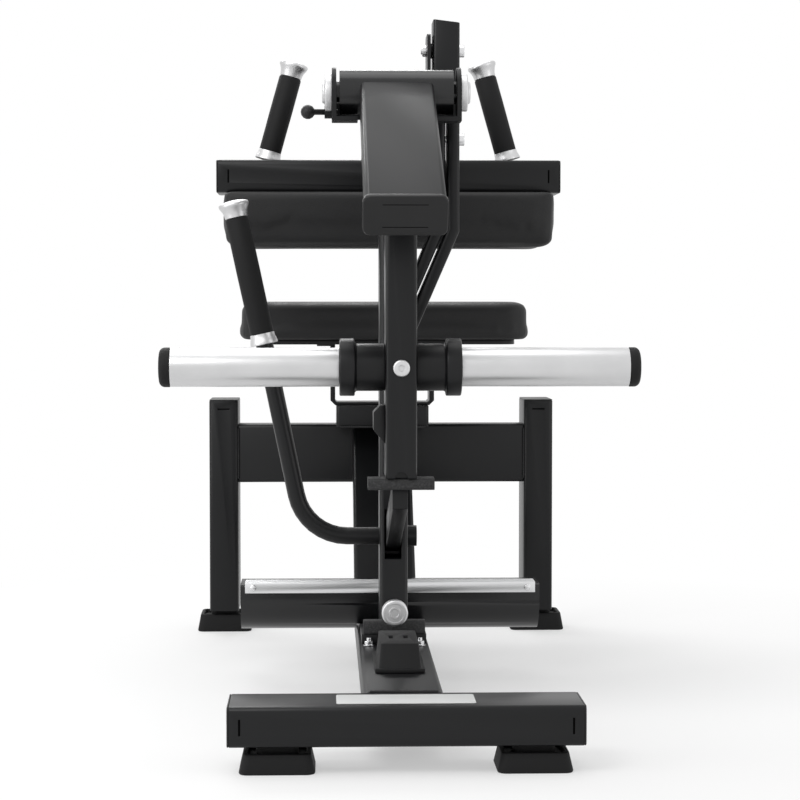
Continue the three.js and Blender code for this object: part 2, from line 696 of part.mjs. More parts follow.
// Spring pin: tip, stem and ball knob in one
const knobSteps = 6;
const knobProfile = [];
const knobStart = Math.asin(lockPin.stemRadius / lockPin.knobRadius);
for (let i = 0; i <= knobSteps; i += 1) {
  const turn = knobStart + (Math.PI - knobStart) * i / knobSteps;
  const length = lockPin.knobCentre - lockPin.tip - lockPin.knobRadius * Math.cos(turn);
  knobProfile.push([i === knobSteps ? 0 : lockPin.knobRadius * Math.sin(turn), length]);
}
add('lock_pin', turned(
  [[0, 0], [lockPin.stemRadius, 0], ...knobProfile],
  pinSpot.clone().setX(-lockPin.tip), X_AXIS.clone().negate(), smallSides,
), rubber);

// Pivot barrel with its heel at the back and a collar in the gap to each ear
const collarReach = cradle.earInner - clearance;
const barrel = join(
  rod(
    pivot.barrelRadius, pivotSpot.clone().setX(-pivot.barrelHalf),
    pivotSpot.clone().setX(pivot.barrelHalf), barrelSides,
  ),
  rod(bearingCollar.radius, pivotSpot.clone().setX(-collarReach), pivotSpot.clone().setX(collarReach)),
  block(-heel.halfWidth, heel.halfWidth, pivot.depth, heel.backDepth, heel.top - heel.thickness, heel.top),
);
add('pivot_barrel', cut(
  barrel,
  rod(
    pivot.boreRadius, pivotSpot.clone().setX(-collarReach - overrun),
    pivotSpot.clone().setX(collarReach + overrun),
  ),
), black);

// Box arm, coped over the barrel, with its end cap
const armSlope = radians(boxArm.slopeDegrees);
const armWay = at(0, -Math.cos(armSlope), -Math.sin(armSlope));
const armUp = at(0, -Math.sin(armSlope), Math.cos(armSlope));
const armAxis = pivotSpot.clone().addScaledVector(armUp, -boxArm.axisDrop);
const armSpot = (distance) => armAxis.clone().addScaledVector(armWay, distance);
const boxTubeEnd = boxArm.reach - boxCap.thickness - clearance;
add('box_arm', cut(
  run(
    roundedOutline(boxArm.width, boxArm.height, boxArm.corner),
    [armSpot(boxArm.rootReach), armSpot(boxTubeEnd)], X_AXIS,
  ),
  rod(
    pivot.barrelRadius + clearance, pivotSpot.clone().setX(-boxArm.width),
    pivotSpot.clone().setX(boxArm.width), barrelSides,
  ),
), black);
const capBack = boxTubeEnd + clearance;
const capOutline = roundedOutline(boxCap.width, boxCap.height, boxCap.corner);
const capRings = [
  [capBack, 1], [boxArm.reach - boxCap.bevel, 1], [boxArm.reach, 1 - boxCap.bevel * 2 / boxCap.width],
];
add('box_arm_cap', loft(capRings.map(([distance, share]) => (
  capOutline.map(
    (p) => armSpot(distance).addScaledVector(X_AXIS, p.x * share).addScaledVector(armUp, p.y * share),
  )
))), rubber);

// Hanging arm, cut at the slope of the box arm and notched at its foot
const hangMiddle = hangArm.frontDepth + hangArm.depth / 2;
const armUnderside = boxArm.axisDrop + boxArm.height / 2 + clearance;
const hangTop = pivot.height
  - (armUnderside + (pivot.depth - hangMiddle) * Math.sin(armSlope)) / Math.cos(armSlope);
add('lever_arm', cut(
  run(
    roundedOutline(hangArm.width, hangArm.depth, hangArm.corner),
    [at(0, hangMiddle, hangArm.underside), at(0, hangMiddle, hangTop)], X_AXIS, Z_AXIS, armUp,
  ),
  rod(
    hangArm.notchRadius,
    at(0, hangArm.frontDepth - overrun, hangArm.underside),
    at(0, hangArm.frontDepth + hangArm.notchRadius, hangArm.underside),
    smallSides,
  ),
), black);
const catchTop = hangArm.underside - clearance;
const catchFront = hangArm.frontDepth + catchBar.inset;
add('catch_bar', run(
  roundedOutline(catchBar.depth, catchBar.height, catchBar.corner),
  [-1, 1].map((side) => at(
    side * catchBar.halfLength, catchFront + catchBar.depth / 2, catchTop - catchBar.height / 2,
  )),
  Y_AXIS,
), black);
const strikerRight = -hangArm.width / 2 - clearance;
const strikerLeft = strikerRight - striker.thickness;
const strikerTop = striker.underside + striker.height;
const strikerOutline = [
  [strikerRight, striker.underside], [strikerRight, strikerTop],
  [strikerLeft + striker.slant, strikerTop], [strikerLeft, strikerTop - striker.slant],
  [strikerLeft, striker.underside + striker.slant * 2],
].map(([spread, height]) => new THREE.Vector2(spread, height));
add('arm_striker', deepPlate(
  strikerOutline, hangMiddle - striker.depth / 2, hangMiddle + striker.depth / 2,
), black);

// Weight horns: hub with flange, bright sleeve and rounded cap on each side
for (const [name, side] of Object.entries(SIDES)) {
  const out = X_AXIS.clone().multiplyScalar(side);
  const hubStart = hangArm.width / 2 + clearance;
  const hubEnd = hubStart + horn.hubLength;
  const flangeEnd = hubEnd + horn.flangeLength;
  const spotAt = (spread) => at(side * spread, horn.depth, horn.height);
  add(`horn_hub_${name}`, turned([
    [0, 0], [horn.hubRadius, 0], [horn.hubRadius, horn.hubLength],
    [horn.flangeRadius - horn.flangeEdge, horn.hubLength],
    [horn.flangeRadius, horn.hubLength + horn.flangeEdge],
    [horn.flangeRadius, horn.hubLength + horn.flangeLength - horn.flangeEdge],
    [horn.flangeRadius - horn.flangeEdge, horn.hubLength + horn.flangeLength],
    [0, horn.hubLength + horn.flangeLength],
  ], spotAt(hubStart), out), black);
  const sleeveLength = horn.sleeveEnd - flangeEnd - clearance;
  add(`horn_sleeve_${name}`, turned([
    [0, 0], [horn.sleeveRadius, 0], [horn.sleeveRadius, sleeveLength - horn.sleeveEdge],
    [horn.sleeveRadius - horn.sleeveEdge, sleeveLength], [0, sleeveLength],
  ], spotAt(flangeEnd + clearance), out), chrome);
  const capSteps = 4;
  const capProfile = [[0, 0], [horn.capRadius, 0]];
  for (let i = 0; i <= capSteps; i += 1) {
    const turn = i / capSteps * Math.PI / 2;
    capProfile.push([
      horn.capRadius - horn.capRound * (1 - Math.cos(turn)),
      horn.capLength - horn.capRound * (1 - Math.sin(turn)),
    ]);
  }
  capProfile.push([0, horn.capLength]);
  add(`horn_cap_${name}`, turned(capProfile, spotAt(horn.sleeveEnd + clearance), out), rubber);
}
add('horn_bolt', turned([
  [0, 0], [horn.boltRadius, 0], [horn.boltRadius, horn.boltHeight - horn.boltEdge],
  [horn.boltRadius - horn.boltEdge, horn.boltHeight], [0, horn.boltHeight],
], at(0, hangArm.frontDepth - clearance, horn.height), Y_AXIS.clone().negate()), chrome);

// Twin side tubes, bent in to the post below and standing side by side above
const sideSlant = radians(sideTube.slantDegrees);
const sideWay = at(-Math.sin(sideSlant), 0, -Math.cos(sideSlant));
const postSide = post.width / 2 + clearance;
const outerSpread = sideTube.innerSpread + sideTube.thickness + sideTube.gap;
const headRight = outerSpread + sideTube.thickness;
const boltHeights = { upper: plateBolt.upperHeight, lower: plateBolt.lowerHeight };
const boltBore = (height) => rod(
  plateBolt.holeRadius,
  at(sideTube.innerSpread - pivotPlate.standOff - pivotPlate.thickness - overrun, padPivot.depth, height),
  at(headRight + overrun, padPivot.depth, height), smallSides,
);
for (const [name, left] of Object.entries({ inner: sideTube.innerSpread, outer: outerSpread })) {
  const spread = left + sideTube.thickness / 2;
  const bendDrop = (spread - sideTube.innerSpread - sideTube.thickness / 2) * Math.tan(sideSlant / 2);
  const bend = at(spread, padPivot.depth, sideTube.bendHeight - bendDrop);
  const length = (spread - postSide) / Math.sin(sideSlant);
  const tube = run(
    roundedOutline(sideTube.depth, sideTube.thickness, sideTube.corner),
    [
      at(spread, padPivot.depth, sideTube.top - clearance), bend,
      bend.clone().addScaledVector(sideWay, length),
    ],
    Y_AXIS, Z_AXIS, X_AXIS,
  );
  add(`side_tube_${name}`, cut(tube, boltBore(boltHeights.lower)), black);
}

// Head of the side post, bored for the upper bolt and for the seat of the pad shaft
const headMiddle = (sideTube.innerSpread + headRight) / 2;
const headSlant = radians(sideHead.topSlantDegrees);
const headSeatEnd = sideTube.innerSpread + padShaft.seat;
add('side_post_head', cut(
  run(
    roundedOutline(headRight - sideTube.innerSpread, sideTube.depth, sideHead.corner),
    [at(headMiddle, padPivot.depth, sideTube.top), at(headMiddle, padPivot.depth, sideHead.top)],
    X_AXIS, Z_AXIS, at(Math.sin(headSlant), 0, Math.cos(headSlant)),
  ),
  boltBore(boltHeights.upper),
  rod(
    pivot.boreRadius, at(sideTube.innerSpread - overrun, padPivot.depth, padPivot.height),
    at(headSeatEnd, padPivot.depth, padPivot.height),
  ),
), black);

// Pivot plate, held off the post by two bosses and clamped by two long bolts
const plateRight = sideTube.innerSpread - pivotPlate.standOff;
const plateLeft = plateRight - pivotPlate.thickness;
const plateMiddle = (pivotPlate.top + pivotPlate.underside) / 2;
const plateOutline = roundedOutline(sideTube.depth, pivotPlate.top - pivotPlate.underside, pivotPlate.corner)
  .map((p) => p.add(new THREE.Vector2(padPivot.depth, plateMiddle)));
const plateBosses = Object.values(boltHeights).map((height) => rod(
  pivotPlate.bossRadius,
  at(plateLeft, padPivot.depth, height), at(sideTube.innerSpread - clearance, padPivot.depth, height),
  smallSides,
));
add('pivot_plate', cut(
  join(acrossPlate(plateOutline, plateLeft, plateRight), ...plateBosses),
  ...Object.values(boltHeights).map(boltBore),
  rod(
    pivot.boreRadius, at(plateLeft - overrun, padPivot.depth, padPivot.height),
    at(plateRight + overrun, padPivot.depth, padPivot.height),
  ),
), black);
for (const [name, height] of Object.entries(boltHeights)) {
  const nutFace = plateLeft - clearance;
  const headFace = headRight + clearance;
  const start = nutFace - plateBolt.nutThickness;
  add(`plate_bolt_${name}`, turned([
    [0, 0], [plateBolt.nutRadius, 0], [plateBolt.nutRadius, nutFace - start],
    [plateBolt.radius, nutFace - start], [plateBolt.radius, headFace - start],
    [plateBolt.headRadius, headFace - start],
    [plateBolt.headRadius, headFace + plateBolt.headThickness - start],
    [0, headFace + plateBolt.headThickness - start],
  ], at(start, padPivot.depth, height), X_AXIS, smallSides), chrome);
}

// Pad shaft: seated in the head, through the plate and the hub, with a shoulder and an end disc
const padSpot = at(0, padPivot.depth, padPivot.height);
const shaftStart = padArm.hubLeft - clearance - padShaft.headThickness;
const shaftLength = (spread) => spread - shaftStart;
add('pad_pivot_shaft', turned([
  [0, 0], [padShaft.headRadius, 0], [padShaft.headRadius, padShaft.headThickness],
  [padShaft.radius, padShaft.headThickness], [padShaft.radius, shaftLength(padArm.hubRight + clearance)],
  [padShaft.shoulderRadius, shaftLength(padArm.hubRight + clearance)],
  [padShaft.shoulderRadius, shaftLength(plateLeft - clearance)],
  [padShaft.radius, shaftLength(plateLeft - clearance)],
  [padShaft.radius, shaftLength(headSeatEnd - clearance)], [0, shaftLength(headSeatEnd - clearance)],
], padSpot.clone().setX(shaftStart), X_AXIS), chrome);

// Pad lever arm: hub, sloping arm to the pad tube and two cheeks that hold the toe roller
const padTubeMiddle = at(0, padTube.frontDepth + padTube.depth / 2, padTube.underside + padTube.height / 2);
const armEnd = at(0, padTube.frontDepth - clearance, padTubeMiddle.z);
const armMiddle = (padArm.armLeft + padArm.hubRight) / 2;
const rollerSpot = at(0, toeRoller.depth, heel.top + clearance + toeRoller.radius);
const cheekRun = [padSpot, rollerSpot].map((spot) => spot.clone());
const toeCheeks = [-1, 1].map((side) => run(
  roundedOutline(padArm.cheekThickness, padArm.cheekHeight, padArm.cheekThickness / cornerSteps),
  cheekRun.map((spot) => spot.clone().setX(side * (padArm.cheekSpread + padArm.cheekThickness / 2))),
  X_AXIS,
));
add('pad_arm', cut(
  join(
    rod(
      padArm.hubRadius, padSpot.clone().setX(padArm.hubLeft), padSpot.clone().setX(padArm.hubRight),
      barrelSides,
    ),
    run(
      roundedOutline(padArm.hubRight - padArm.armLeft, padArm.armHeight, padArm.armCorner),
      [padSpot.clone().setX(armMiddle), armEnd.clone().setX(armMiddle)], X_AXIS, null, Y_AXIS,
    ),
    ...toeCheeks,
  ),
  rod(
    padArm.boreRadius, padSpot.clone().setX(padArm.hubLeft - overrun),
    padSpot.clone().setX(padArm.hubRight + overrun),
  ),
), black);
const rollerHalf = padArm.cheekSpread - clearance;
add('toe_roller', rod(
  toeRoller.radius, rollerSpot.clone().setX(-rollerHalf), rollerSpot.clone().setX(rollerHalf),
), chrome);

// Rubber bumper on the post that the pad arm rests on
const armFall = (padPivot.height - padTubeMiddle.z) / (padTube.frontDepth - padPivot.depth);
const armHalfRise = padArm.armHeight / 2 * Math.hypot(1, armFall);
const bumperBack = bumper.depth + bumper.radius;
const bumperTop = padPivot.height - (bumperBack - padPivot.depth) * armFall - armHalfRise - clearance;
add('post_bumper', rod(
  bumper.radius,
  at(bumper.spread, bumper.depth, post.top + clearance), at(bumper.spread, bumper.depth, bumperTop),
  smallSides,
), rubber);

// Pad tube with a punched slot near each end, and the thigh pad under it
const padTubeBody = run(
  roundedOutline(padTube.depth, padTube.height, padTube.corner),
  [-1, 1].map((side) => padTubeMiddle.clone().setX(side * padTube.halfLength)),
  Y_AXIS,
);
const padSlots = [-1, 1].map((side) => {
  const middle = side * (padTube.halfLength - padTube.slotInset);
  return block(
    middle - crossbar.slotWidth / 2, middle + crossbar.slotWidth / 2,
    padTube.frontDepth - overrun, padTube.frontDepth + crossbar.slotDepth,
    padTubeMiddle.z - crossbar.slotHeight / 2, padTubeMiddle.z + crossbar.slotHeight / 2,
  );
});
add('pad_tube', cut(padTubeBody, ...padSlots), black);
const padForm = cushion(thighPad.halfLength * 2, thighPad.depth, thighPad.height, {
  corner: thighPad.corner, flatRound: thighPad.upperRound, freeRound: thighPad.lowerRound,
  crown: thighPad.crown, drawIn: thighPad.drawIn,
});
padForm.rotateX(Math.PI);
padForm.translate(0, thighPad.frontDepth + thighPad.depth / 2, padTube.underside - clearance);
add('thigh_pad', padForm, leather);

// Grip sleeve with a bead at its foot, and the flared metal cap above it
function gripForm(foot, top) {
  const way = top.clone().sub(foot);
  const length = way.length();
  const bore = padHandle.stemRadius + clearance;
  return turned([
    [bore, 0], [padHandle.ringRadius, 0], [padHandle.ringRadius, padHandle.ringHeight],
    [padHandle.gripRadius, padHandle.ringHeight + clearance], [padHandle.gripRadius, length],
    [bore, length], [bore, 0],
  ], foot, way, gripSides);
}
const flaredProfile = (start) => [
  [flaredCap.neckRadius, start], [flaredCap.rimRadius, start + flaredCap.length - flaredCap.rimBand],
  [flaredCap.rimRadius, start + flaredCap.length],
  [flaredCap.rimRadius - flaredCap.crown, start + flaredCap.length + flaredCap.crown / 2],
  [0, start + flaredCap.length + flaredCap.crown],
];

// Two leaning handles on the pad tube, cut flat at the foot
const tubeTop = padTube.underside + padTube.height;
for (const [name, side] of Object.entries(SIDES)) {
  const foot = at(side * padHandle.footSpread, padHandle.middleDepth, tubeTop);
  const top = at(side * padHandle.topSpread, padHandle.middleDepth, padHandle.top);
  const way = top.clone().sub(foot).normalize();
  const length = top.distanceTo(foot);
  const sunk = padHandle.collarLength;
  const start = foot.clone().addScaledVector(way, -sunk);
  const gripFoot = sunk + padHandle.collarLength + clearance;
  const gripTop = sunk + length - clearance;
  const core = turned([
    [0, 0], [padHandle.collarRadius, 0], [padHandle.collarRadius, gripFoot - clearance],
    [padHandle.stemRadius, gripFoot - clearance], [padHandle.stemRadius, gripTop + clearance],
    ...flaredProfile(gripTop + clearance),
  ], start, way, gripSides);
  const under = block(
    foot.x - padHandle.collarRadius * 2, foot.x + padHandle.collarRadius * 2,
    foot.y - padHandle.collarRadius * 2, foot.y + padHandle.collarRadius * 2,
    tubeTop - padHandle.collarRadius * 2, tubeTop + clearance,
  );
  add(`pad_handle_core_${name}`, cut(core, under), aluminium);
  add(`pad_handle_grip_${name}`, gripForm(
    start.clone().addScaledVector(way, gripFoot), start.clone().addScaledVector(way, gripTop),
  ), rubber);
}

// Release bar: cross shaft, elbow and upright in one bent rod with a stop collar on its right end
const routePoint = (spread, height) => at(-spread, releaseShaft.depth, height);
const kneeSpot = routePoint(releaseRoute.kneeSpread, releaseRoute.kneeHeight);
const gripTopSpot = routePoint(releaseRoute.topSpread, releaseRoute.topHeight);
const gripRise = releaseRoute.gripHeight - releaseRoute.kneeHeight;
const gripShare = gripRise / (releaseRoute.topHeight - releaseRoute.kneeHeight);
const gripFootSpot = kneeSpot.clone().lerp(gripTopSpot, gripShare);
const gripWay = gripTopSpot.clone().sub(gripFootSpot).normalize();
const bendSteps = 8;
const releaseBar = run(
  circleOutline(releaseShaft.radius, gripSides),
  filleted([
    routePoint(-releaseShaft.rightEnd, releaseShaft.height),
    routePoint(releaseRoute.cornerSpread, releaseShaft.height),
    kneeSpot, gripTopSpot,
  ], releaseRoute.bendRadius, bendSteps),
  Y_AXIS,
);
const stopCollar = rod(
  releaseCollar.radius,
  routePoint(-post.width / 2 - clearance, releaseShaft.height),
  routePoint(-releaseShaft.rightEnd, releaseShaft.height),
  gripSides,
);
add('release_bar', join(releaseBar, stopCollar), black);
const releaseCollarEnd = gripFootSpot.clone().addScaledVector(gripWay, padHandle.collarLength);
add('release_grip_collar', ring(
  releaseShaft.radius + clearance, padHandle.collarRadius, gripFootSpot, releaseCollarEnd, gripSides,
), aluminium);
const releaseGripEnd = gripTopSpot.clone().addScaledVector(gripWay, -clearance);
add(
  'release_grip', gripForm(releaseCollarEnd.clone().addScaledVector(gripWay, clearance), releaseGripEnd),
  rubber,
);
add('release_grip_cap', turned(
  [[0, 0], ...flaredProfile(0)], gripTopSpot.clone().addScaledVector(gripWay, clearance), gripWay, gripSides,
), aluminium);

// Catch finger: hub on the shaft inside the post, and a tapered bar that reaches under the catch bar
const fingerOutline = new THREE.Shape();
const catchUnderside = catchTop - catchBar.height;
const tipTop = catchUnderside - clearance;
const tipBack = catchFinger.tipDepth + catchFinger.tipLength;
const hubTangent = radians(catchFinger.tangentDegrees);
fingerOutline.moveTo(catchFinger.tipDepth, tipTop);
fingerOutline.lineTo(catchFinger.tipDepth, tipTop - catchFinger.tipHeight);
fingerOutline.lineTo(
  releaseShaft.depth + catchFinger.hubRadius * Math.cos(hubTangent),
  releaseShaft.height - catchFinger.hubRadius * Math.sin(hubTangent),
);
fingerOutline.absarc(
  releaseShaft.depth, releaseShaft.height, catchFinger.hubRadius, -hubTangent, hubTangent, false,
);
fingerOutline.lineTo(tipBack, tipTop);
fingerOutline.closePath();
add('catch_finger', cut(
  acrossPlate(fingerOutline, catchFinger.left, catchFinger.right, earSteps),
  rod(
    releaseShaft.radius + clearance,
    shaftSpot.clone().setX(catchFinger.left - overrun), shaftSpot.clone().setX(catchFinger.right + overrun),
  ),
), black);

// Seat: pedestal on the crossbeam, hoop of flat bar, base board and cushion
const pedestalFoot = crossbeamTop + clearance;
const pedestalTop = pedestalFoot + pedestal.height;
const pedestalBack = crossbeam.frontDepth + crossbeam.thickness;
add('seat_pedestal', stacked([
  [0, pedestal.halfWidth * 2, pedestalBack - pedestal.frontDepth, pedestal.corner],
  [pedestal.height, pedestal.halfWidth * 2, pedestalBack - pedestal.frontDepth, pedestal.corner],
], at(0, (pedestalBack + pedestal.frontDepth) / 2, pedestalFoot)), black);
const hoopFoot = pedestalTop + clearance;
const legOuter = hoop.legInner + hoop.bar;
const hoopOutline = [
  [-hoop.flangeReach, hoop.top], [-hoop.flangeReach, hoop.top - hoop.floor],
  [-legOuter, hoop.top - hoop.floor],
  [-legOuter, hoopFoot + hoop.bend], [hoop.bend - legOuter, hoopFoot],
  [legOuter - hoop.bend, hoopFoot], [legOuter, hoopFoot + hoop.bend],
  [legOuter, hoop.top - hoop.floor], [hoop.flangeReach, hoop.top - hoop.floor], [hoop.flangeReach, hoop.top],
  [hoop.legInner, hoop.top], [hoop.legInner, hoopFoot + hoop.bend],
  [hoop.legInner - hoop.bend + hoop.floor, hoopFoot + hoop.floor],
  [hoop.bend - hoop.legInner - hoop.floor, hoopFoot + hoop.floor], [-hoop.legInner, hoopFoot + hoop.bend],
  [-hoop.legInner, hoop.top],
].map(([spread, height]) => new THREE.Vector2(spread, height));
add('seat_bracket', deepPlate(hoopOutline, hoop.frontDepth, hoop.frontDepth + hoop.depth), black);
const baseFoot = hoop.top + clearance;
add('seat_base', stacked([
  [0, seatBase.halfWidth * 2, seatBase.backDepth - seatBase.frontDepth, seatBase.corner],
  [seatBase.thickness, seatBase.halfWidth * 2, seatBase.backDepth - seatBase.frontDepth, seatBase.corner],
], at(0, (seatBase.backDepth + seatBase.frontDepth) / 2, baseFoot)), black);
const seatForm = cushion(seat.halfWidth * 2, seat.backDepth - seat.frontDepth, seat.height, {
  corner: seat.corner, flatRound: seat.lowerRound, freeRound: seat.upperRound, crown: seat.crown,
  drawIn: seat.drawIn,
});
seatForm.translate(0, (seat.backDepth + seat.frontDepth) / 2, baseFoot + seatBase.thickness + clearance);
add('seat_cushion', seatForm, leather);

// The origin lies on the floor under the middle of the machine's length.
const extent = new THREE.Box3().setFromObject(machine);
machine.position.y = -(extent.min.y + extent.max.y) / 2;

export default machine;
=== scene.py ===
# %% [markdown]
# # A seated calf raise machine
# The machine is a welded frame of black tube with two levers, a bent release handle, bright horns for
# weight plates and two upholstered pads. The construction is fixed already, so this lesson only dresses it:
# each step says what a piece or a finish is on the real machine and how it is made here.

# %% Load the fixed frame
import json
import math

import bpy
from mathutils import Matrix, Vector

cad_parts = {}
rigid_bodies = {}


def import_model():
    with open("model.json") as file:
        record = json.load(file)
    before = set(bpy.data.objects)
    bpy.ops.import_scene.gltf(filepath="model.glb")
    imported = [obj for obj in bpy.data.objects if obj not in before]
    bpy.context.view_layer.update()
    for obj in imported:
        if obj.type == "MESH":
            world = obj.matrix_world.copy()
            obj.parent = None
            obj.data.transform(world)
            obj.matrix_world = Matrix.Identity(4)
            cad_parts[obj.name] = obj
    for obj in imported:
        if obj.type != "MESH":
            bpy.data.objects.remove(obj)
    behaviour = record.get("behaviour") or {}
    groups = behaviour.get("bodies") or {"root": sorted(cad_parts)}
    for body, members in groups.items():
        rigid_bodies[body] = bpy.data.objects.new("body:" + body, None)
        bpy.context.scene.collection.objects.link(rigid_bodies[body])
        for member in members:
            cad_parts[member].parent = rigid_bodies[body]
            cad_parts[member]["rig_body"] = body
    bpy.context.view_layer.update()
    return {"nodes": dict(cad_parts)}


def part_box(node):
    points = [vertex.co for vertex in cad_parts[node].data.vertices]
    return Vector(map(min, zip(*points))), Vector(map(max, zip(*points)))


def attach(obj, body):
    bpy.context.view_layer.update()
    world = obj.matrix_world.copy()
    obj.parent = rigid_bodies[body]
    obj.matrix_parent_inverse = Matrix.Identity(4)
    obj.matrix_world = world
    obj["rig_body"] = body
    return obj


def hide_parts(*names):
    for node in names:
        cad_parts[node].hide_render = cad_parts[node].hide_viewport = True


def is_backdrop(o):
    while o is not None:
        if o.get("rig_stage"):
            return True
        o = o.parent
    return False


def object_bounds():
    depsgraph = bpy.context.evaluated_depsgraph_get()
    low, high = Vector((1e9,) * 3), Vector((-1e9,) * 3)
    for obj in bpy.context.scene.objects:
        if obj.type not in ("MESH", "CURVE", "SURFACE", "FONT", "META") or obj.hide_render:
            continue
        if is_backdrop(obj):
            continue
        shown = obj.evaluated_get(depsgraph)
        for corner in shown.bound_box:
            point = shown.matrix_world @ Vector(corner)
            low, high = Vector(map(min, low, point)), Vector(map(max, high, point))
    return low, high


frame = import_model()
nodes = frame["nodes"]
MM = 0.001

# %% [markdown]
# ## Camera
# The photograph was taken from straight in front, slightly left of the middle and at the height of the
# weight horns. The long lens and the two small turns below put each tube where the photograph shows it.

# %% Camera
CAMERA_SPREAD = -100.4 * MM
CAMERA_HEIGHT = 572 * MM
CAMERA_DISTANCE = 2671 * MM
LENS = 100.55
SENSOR_WIDTH = 36
PITCH_DOWN = 2.515
YAW_RIGHT = 1.97
front_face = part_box("front_crossbar")[0].y
bpy.ops.object.camera_add(
    location=(CAMERA_SPREAD, front_face - CAMERA_DISTANCE, CAMERA_HEIGHT),
    rotation=(math.radians(90 - PITCH_DOWN), 0, math.radians(-YAW_RIGHT)),
)
camera = bpy.context.object
camera.data.lens = LENS
camera.data.sensor_width = SENSOR_WIDTH
bpy.context.scene.camera = camera
bpy.context.scene.view_settings.view_transform = "Standard"
print("camera", [round(v, 3) for v in camera.location])

# %% [markdown]
# ## Arithmetic on shader sockets
# A pattern is a sum of a few noises and masks. Math nodes wired by hand are hard to read, so one small
# class wraps an output socket, and an expression such as `0.4 + 0.1 * grain` adds the nodes itself.

# %% Socket class
class Wire:
    """An output socket of a node tree, with sums, products and powers."""

    def __init__(self, tree, socket):
        self.tree = tree
        self.socket = socket

    def combine(self, operation, first, second):
        node = self.tree.nodes.new("ShaderNodeMath")
        node.operation = operation
        for slot, value in zip(node.inputs, (first, second)):
            if isinstance(value, Wire):
                self.tree.links.new(value.socket, slot)
            else:
                slot.default_value = value
        return Wire(self.tree, node.outputs[0])

    def __add__(self, other):
        return self.combine("ADD", self, other)

    def __radd__(self, other):
        return self.combine("ADD", other, self)

    def __mul__(self, other):
        return self.combine("MULTIPLY", self, other)

    def __rmul__(self, other):
        return self.combine("MULTIPLY", other, self)

    def power(self, exponent):
        return self.combine("POWER", self, exponent)


# %% Tree and finish classes
class Tree:
    """A node tree. Every node but Math comes from node(): its settings first, then its sockets."""

    def __init__(self, tree):
        self.tree = tree

    def node(self, kind, settings=None, sockets=None, output=0):
        made = self.tree.nodes.new(kind)
        for key, value in (settings or {}).items():
            setattr(made, key, value)
        for key, value in (sockets or {}).items():
            if isinstance(value, Wire):
                self.tree.links.new(value.socket, made.inputs[key])
            else:
                made.inputs[key].default_value = value
        return Wire(self.tree, made.outputs[output])


class Finish(Tree):
    """A material with one Principled shader, whose patterns are laid out in Object coordinates."""

    def __init__(self, name):
        self.material = bpy.data.materials.new(name)
        self.material.use_nodes = True
        super().__init__(self.material.node_tree)
        self.shader = self.tree.nodes["Principled BSDF"]
        self.place = self.node("ShaderNodeTexCoord", output="Object")

    def noise(self, scale, detail=2.0, stretch=None):
        place = self.place
        if stretch:
            place = self.node("ShaderNodeMapping", sockets={"Vector": place, "Scale": stretch})
        return self.node(
            "ShaderNodeTexNoise", sockets={"Vector": place, "Scale": scale, "Detail": detail})

    def blend(self, share, first, second):
        return self.node(
            "ShaderNodeMix", {"data_type": "RGBA"}, {0: share, 6: (*first, 1), 7: (*second, 1)}, output=2)

    def bump(self, height, strength, distance):
        return self.node(
            "ShaderNodeBump", sockets={"Height": height, "Strength": strength, "Distance": distance})

    def set(self, **inputs):
        for key, value in inputs.items():
            slot = self.shader.inputs[key.replace("_", " ")]
            if isinstance(value, Wire):
                self.tree.links.new(value.socket, slot)
            else:
                slot.default_value = value
        return self.material


def clouded(name, dark, pale, cloud, rough, grain=None, relief=None, **constants):
    """Most finishes: a cloud drifts the colour and the gloss, and a grain makes the relief.

    cloud and grain hold the scale, the detail and the stretch of a noise. rough holds the roughness and how
    much the cloud adds to it. relief holds the strength and the height of the grain."""
    finish = Finish(name)
    drift = finish.noise(*cloud)
    base, vary = rough
    if grain:
        constants["Normal"] = finish.bump(finish.noise(*grain), *relief)
    return finish.set(
        Base_Color=finish.blend(drift, dark, pale), Roughness=base + vary * drift, **constants)


print("shader helpers ready")

# %% [markdown]
# ## Powder coat
# The frame is sprayed with black powder and baked, which leaves a satin skin with a faint orange peel. A
# fine noise makes its dimples through a Bump node, and a broad noise lets the gloss and the black drift.

# %% Powder coat
COAT_DARK = (0.0048, 0.005, 0.0056)
COAT_PALE = (0.0085, 0.0087, 0.0094)
GLOSS_DARK = (0.005, 0.0052, 0.0058)
GRIT_DARK = (0.005, 0.005, 0.0055)
GRIT_PALE = (0.035, 0.035, 0.036)


def powder_coat():
    finish = Finish("powder_coat")
    peel = finish.noise(scale=620, detail=3)
    drift = finish.noise(scale=7, detail=3)
    speck = finish.noise(scale=1900, detail=1).power(3)
    return finish.set(
        Base_Color=finish.blend(drift, COAT_DARK, COAT_PALE),
        Roughness=0.3 + 0.1 * drift + 0.06 * speck,
        Normal=finish.bump(peel, strength=0.08, distance=0.5 * MM),
        Specular_IOR_Level=0.26,
    )


def gloss_coat():
    """The same powder where it cured glossier, on the rolled foot rest and the barrel."""
    return clouded(
        "gloss_coat", GLOSS_DARK, COAT_PALE, cloud=(9, 3), rough=(0.2, 0.08),
        grain=(560, 3), relief=(0.07, 0.5 * MM), Specular_IOR_Level=0.46)


def gritty_coat():
    """The catch bar and the lower peg wear a coarse grip coat, whose crumbs catch the light."""
    finish = Finish("gritty_coat")
    crumb = finish.noise(scale=420, detail=4)
    patch = finish.noise(scale=70, detail=3)
    height = crumb * 0.8 + patch * 0.3
    return finish.set(
        Base_Color=finish.blend(crumb.power(3) * 3.0, GRIT_DARK, GRIT_PALE),
        Roughness=0.5 + 0.2 * patch,
        Normal=finish.bump(height, strength=0.5, distance=1 * MM),
        Specular_IOR_Level=0.4,
    )


coat = powder_coat()
gloss = gloss_coat()
grit = gritty_coat()
print("made", coat.name, gloss.name, grit.name)

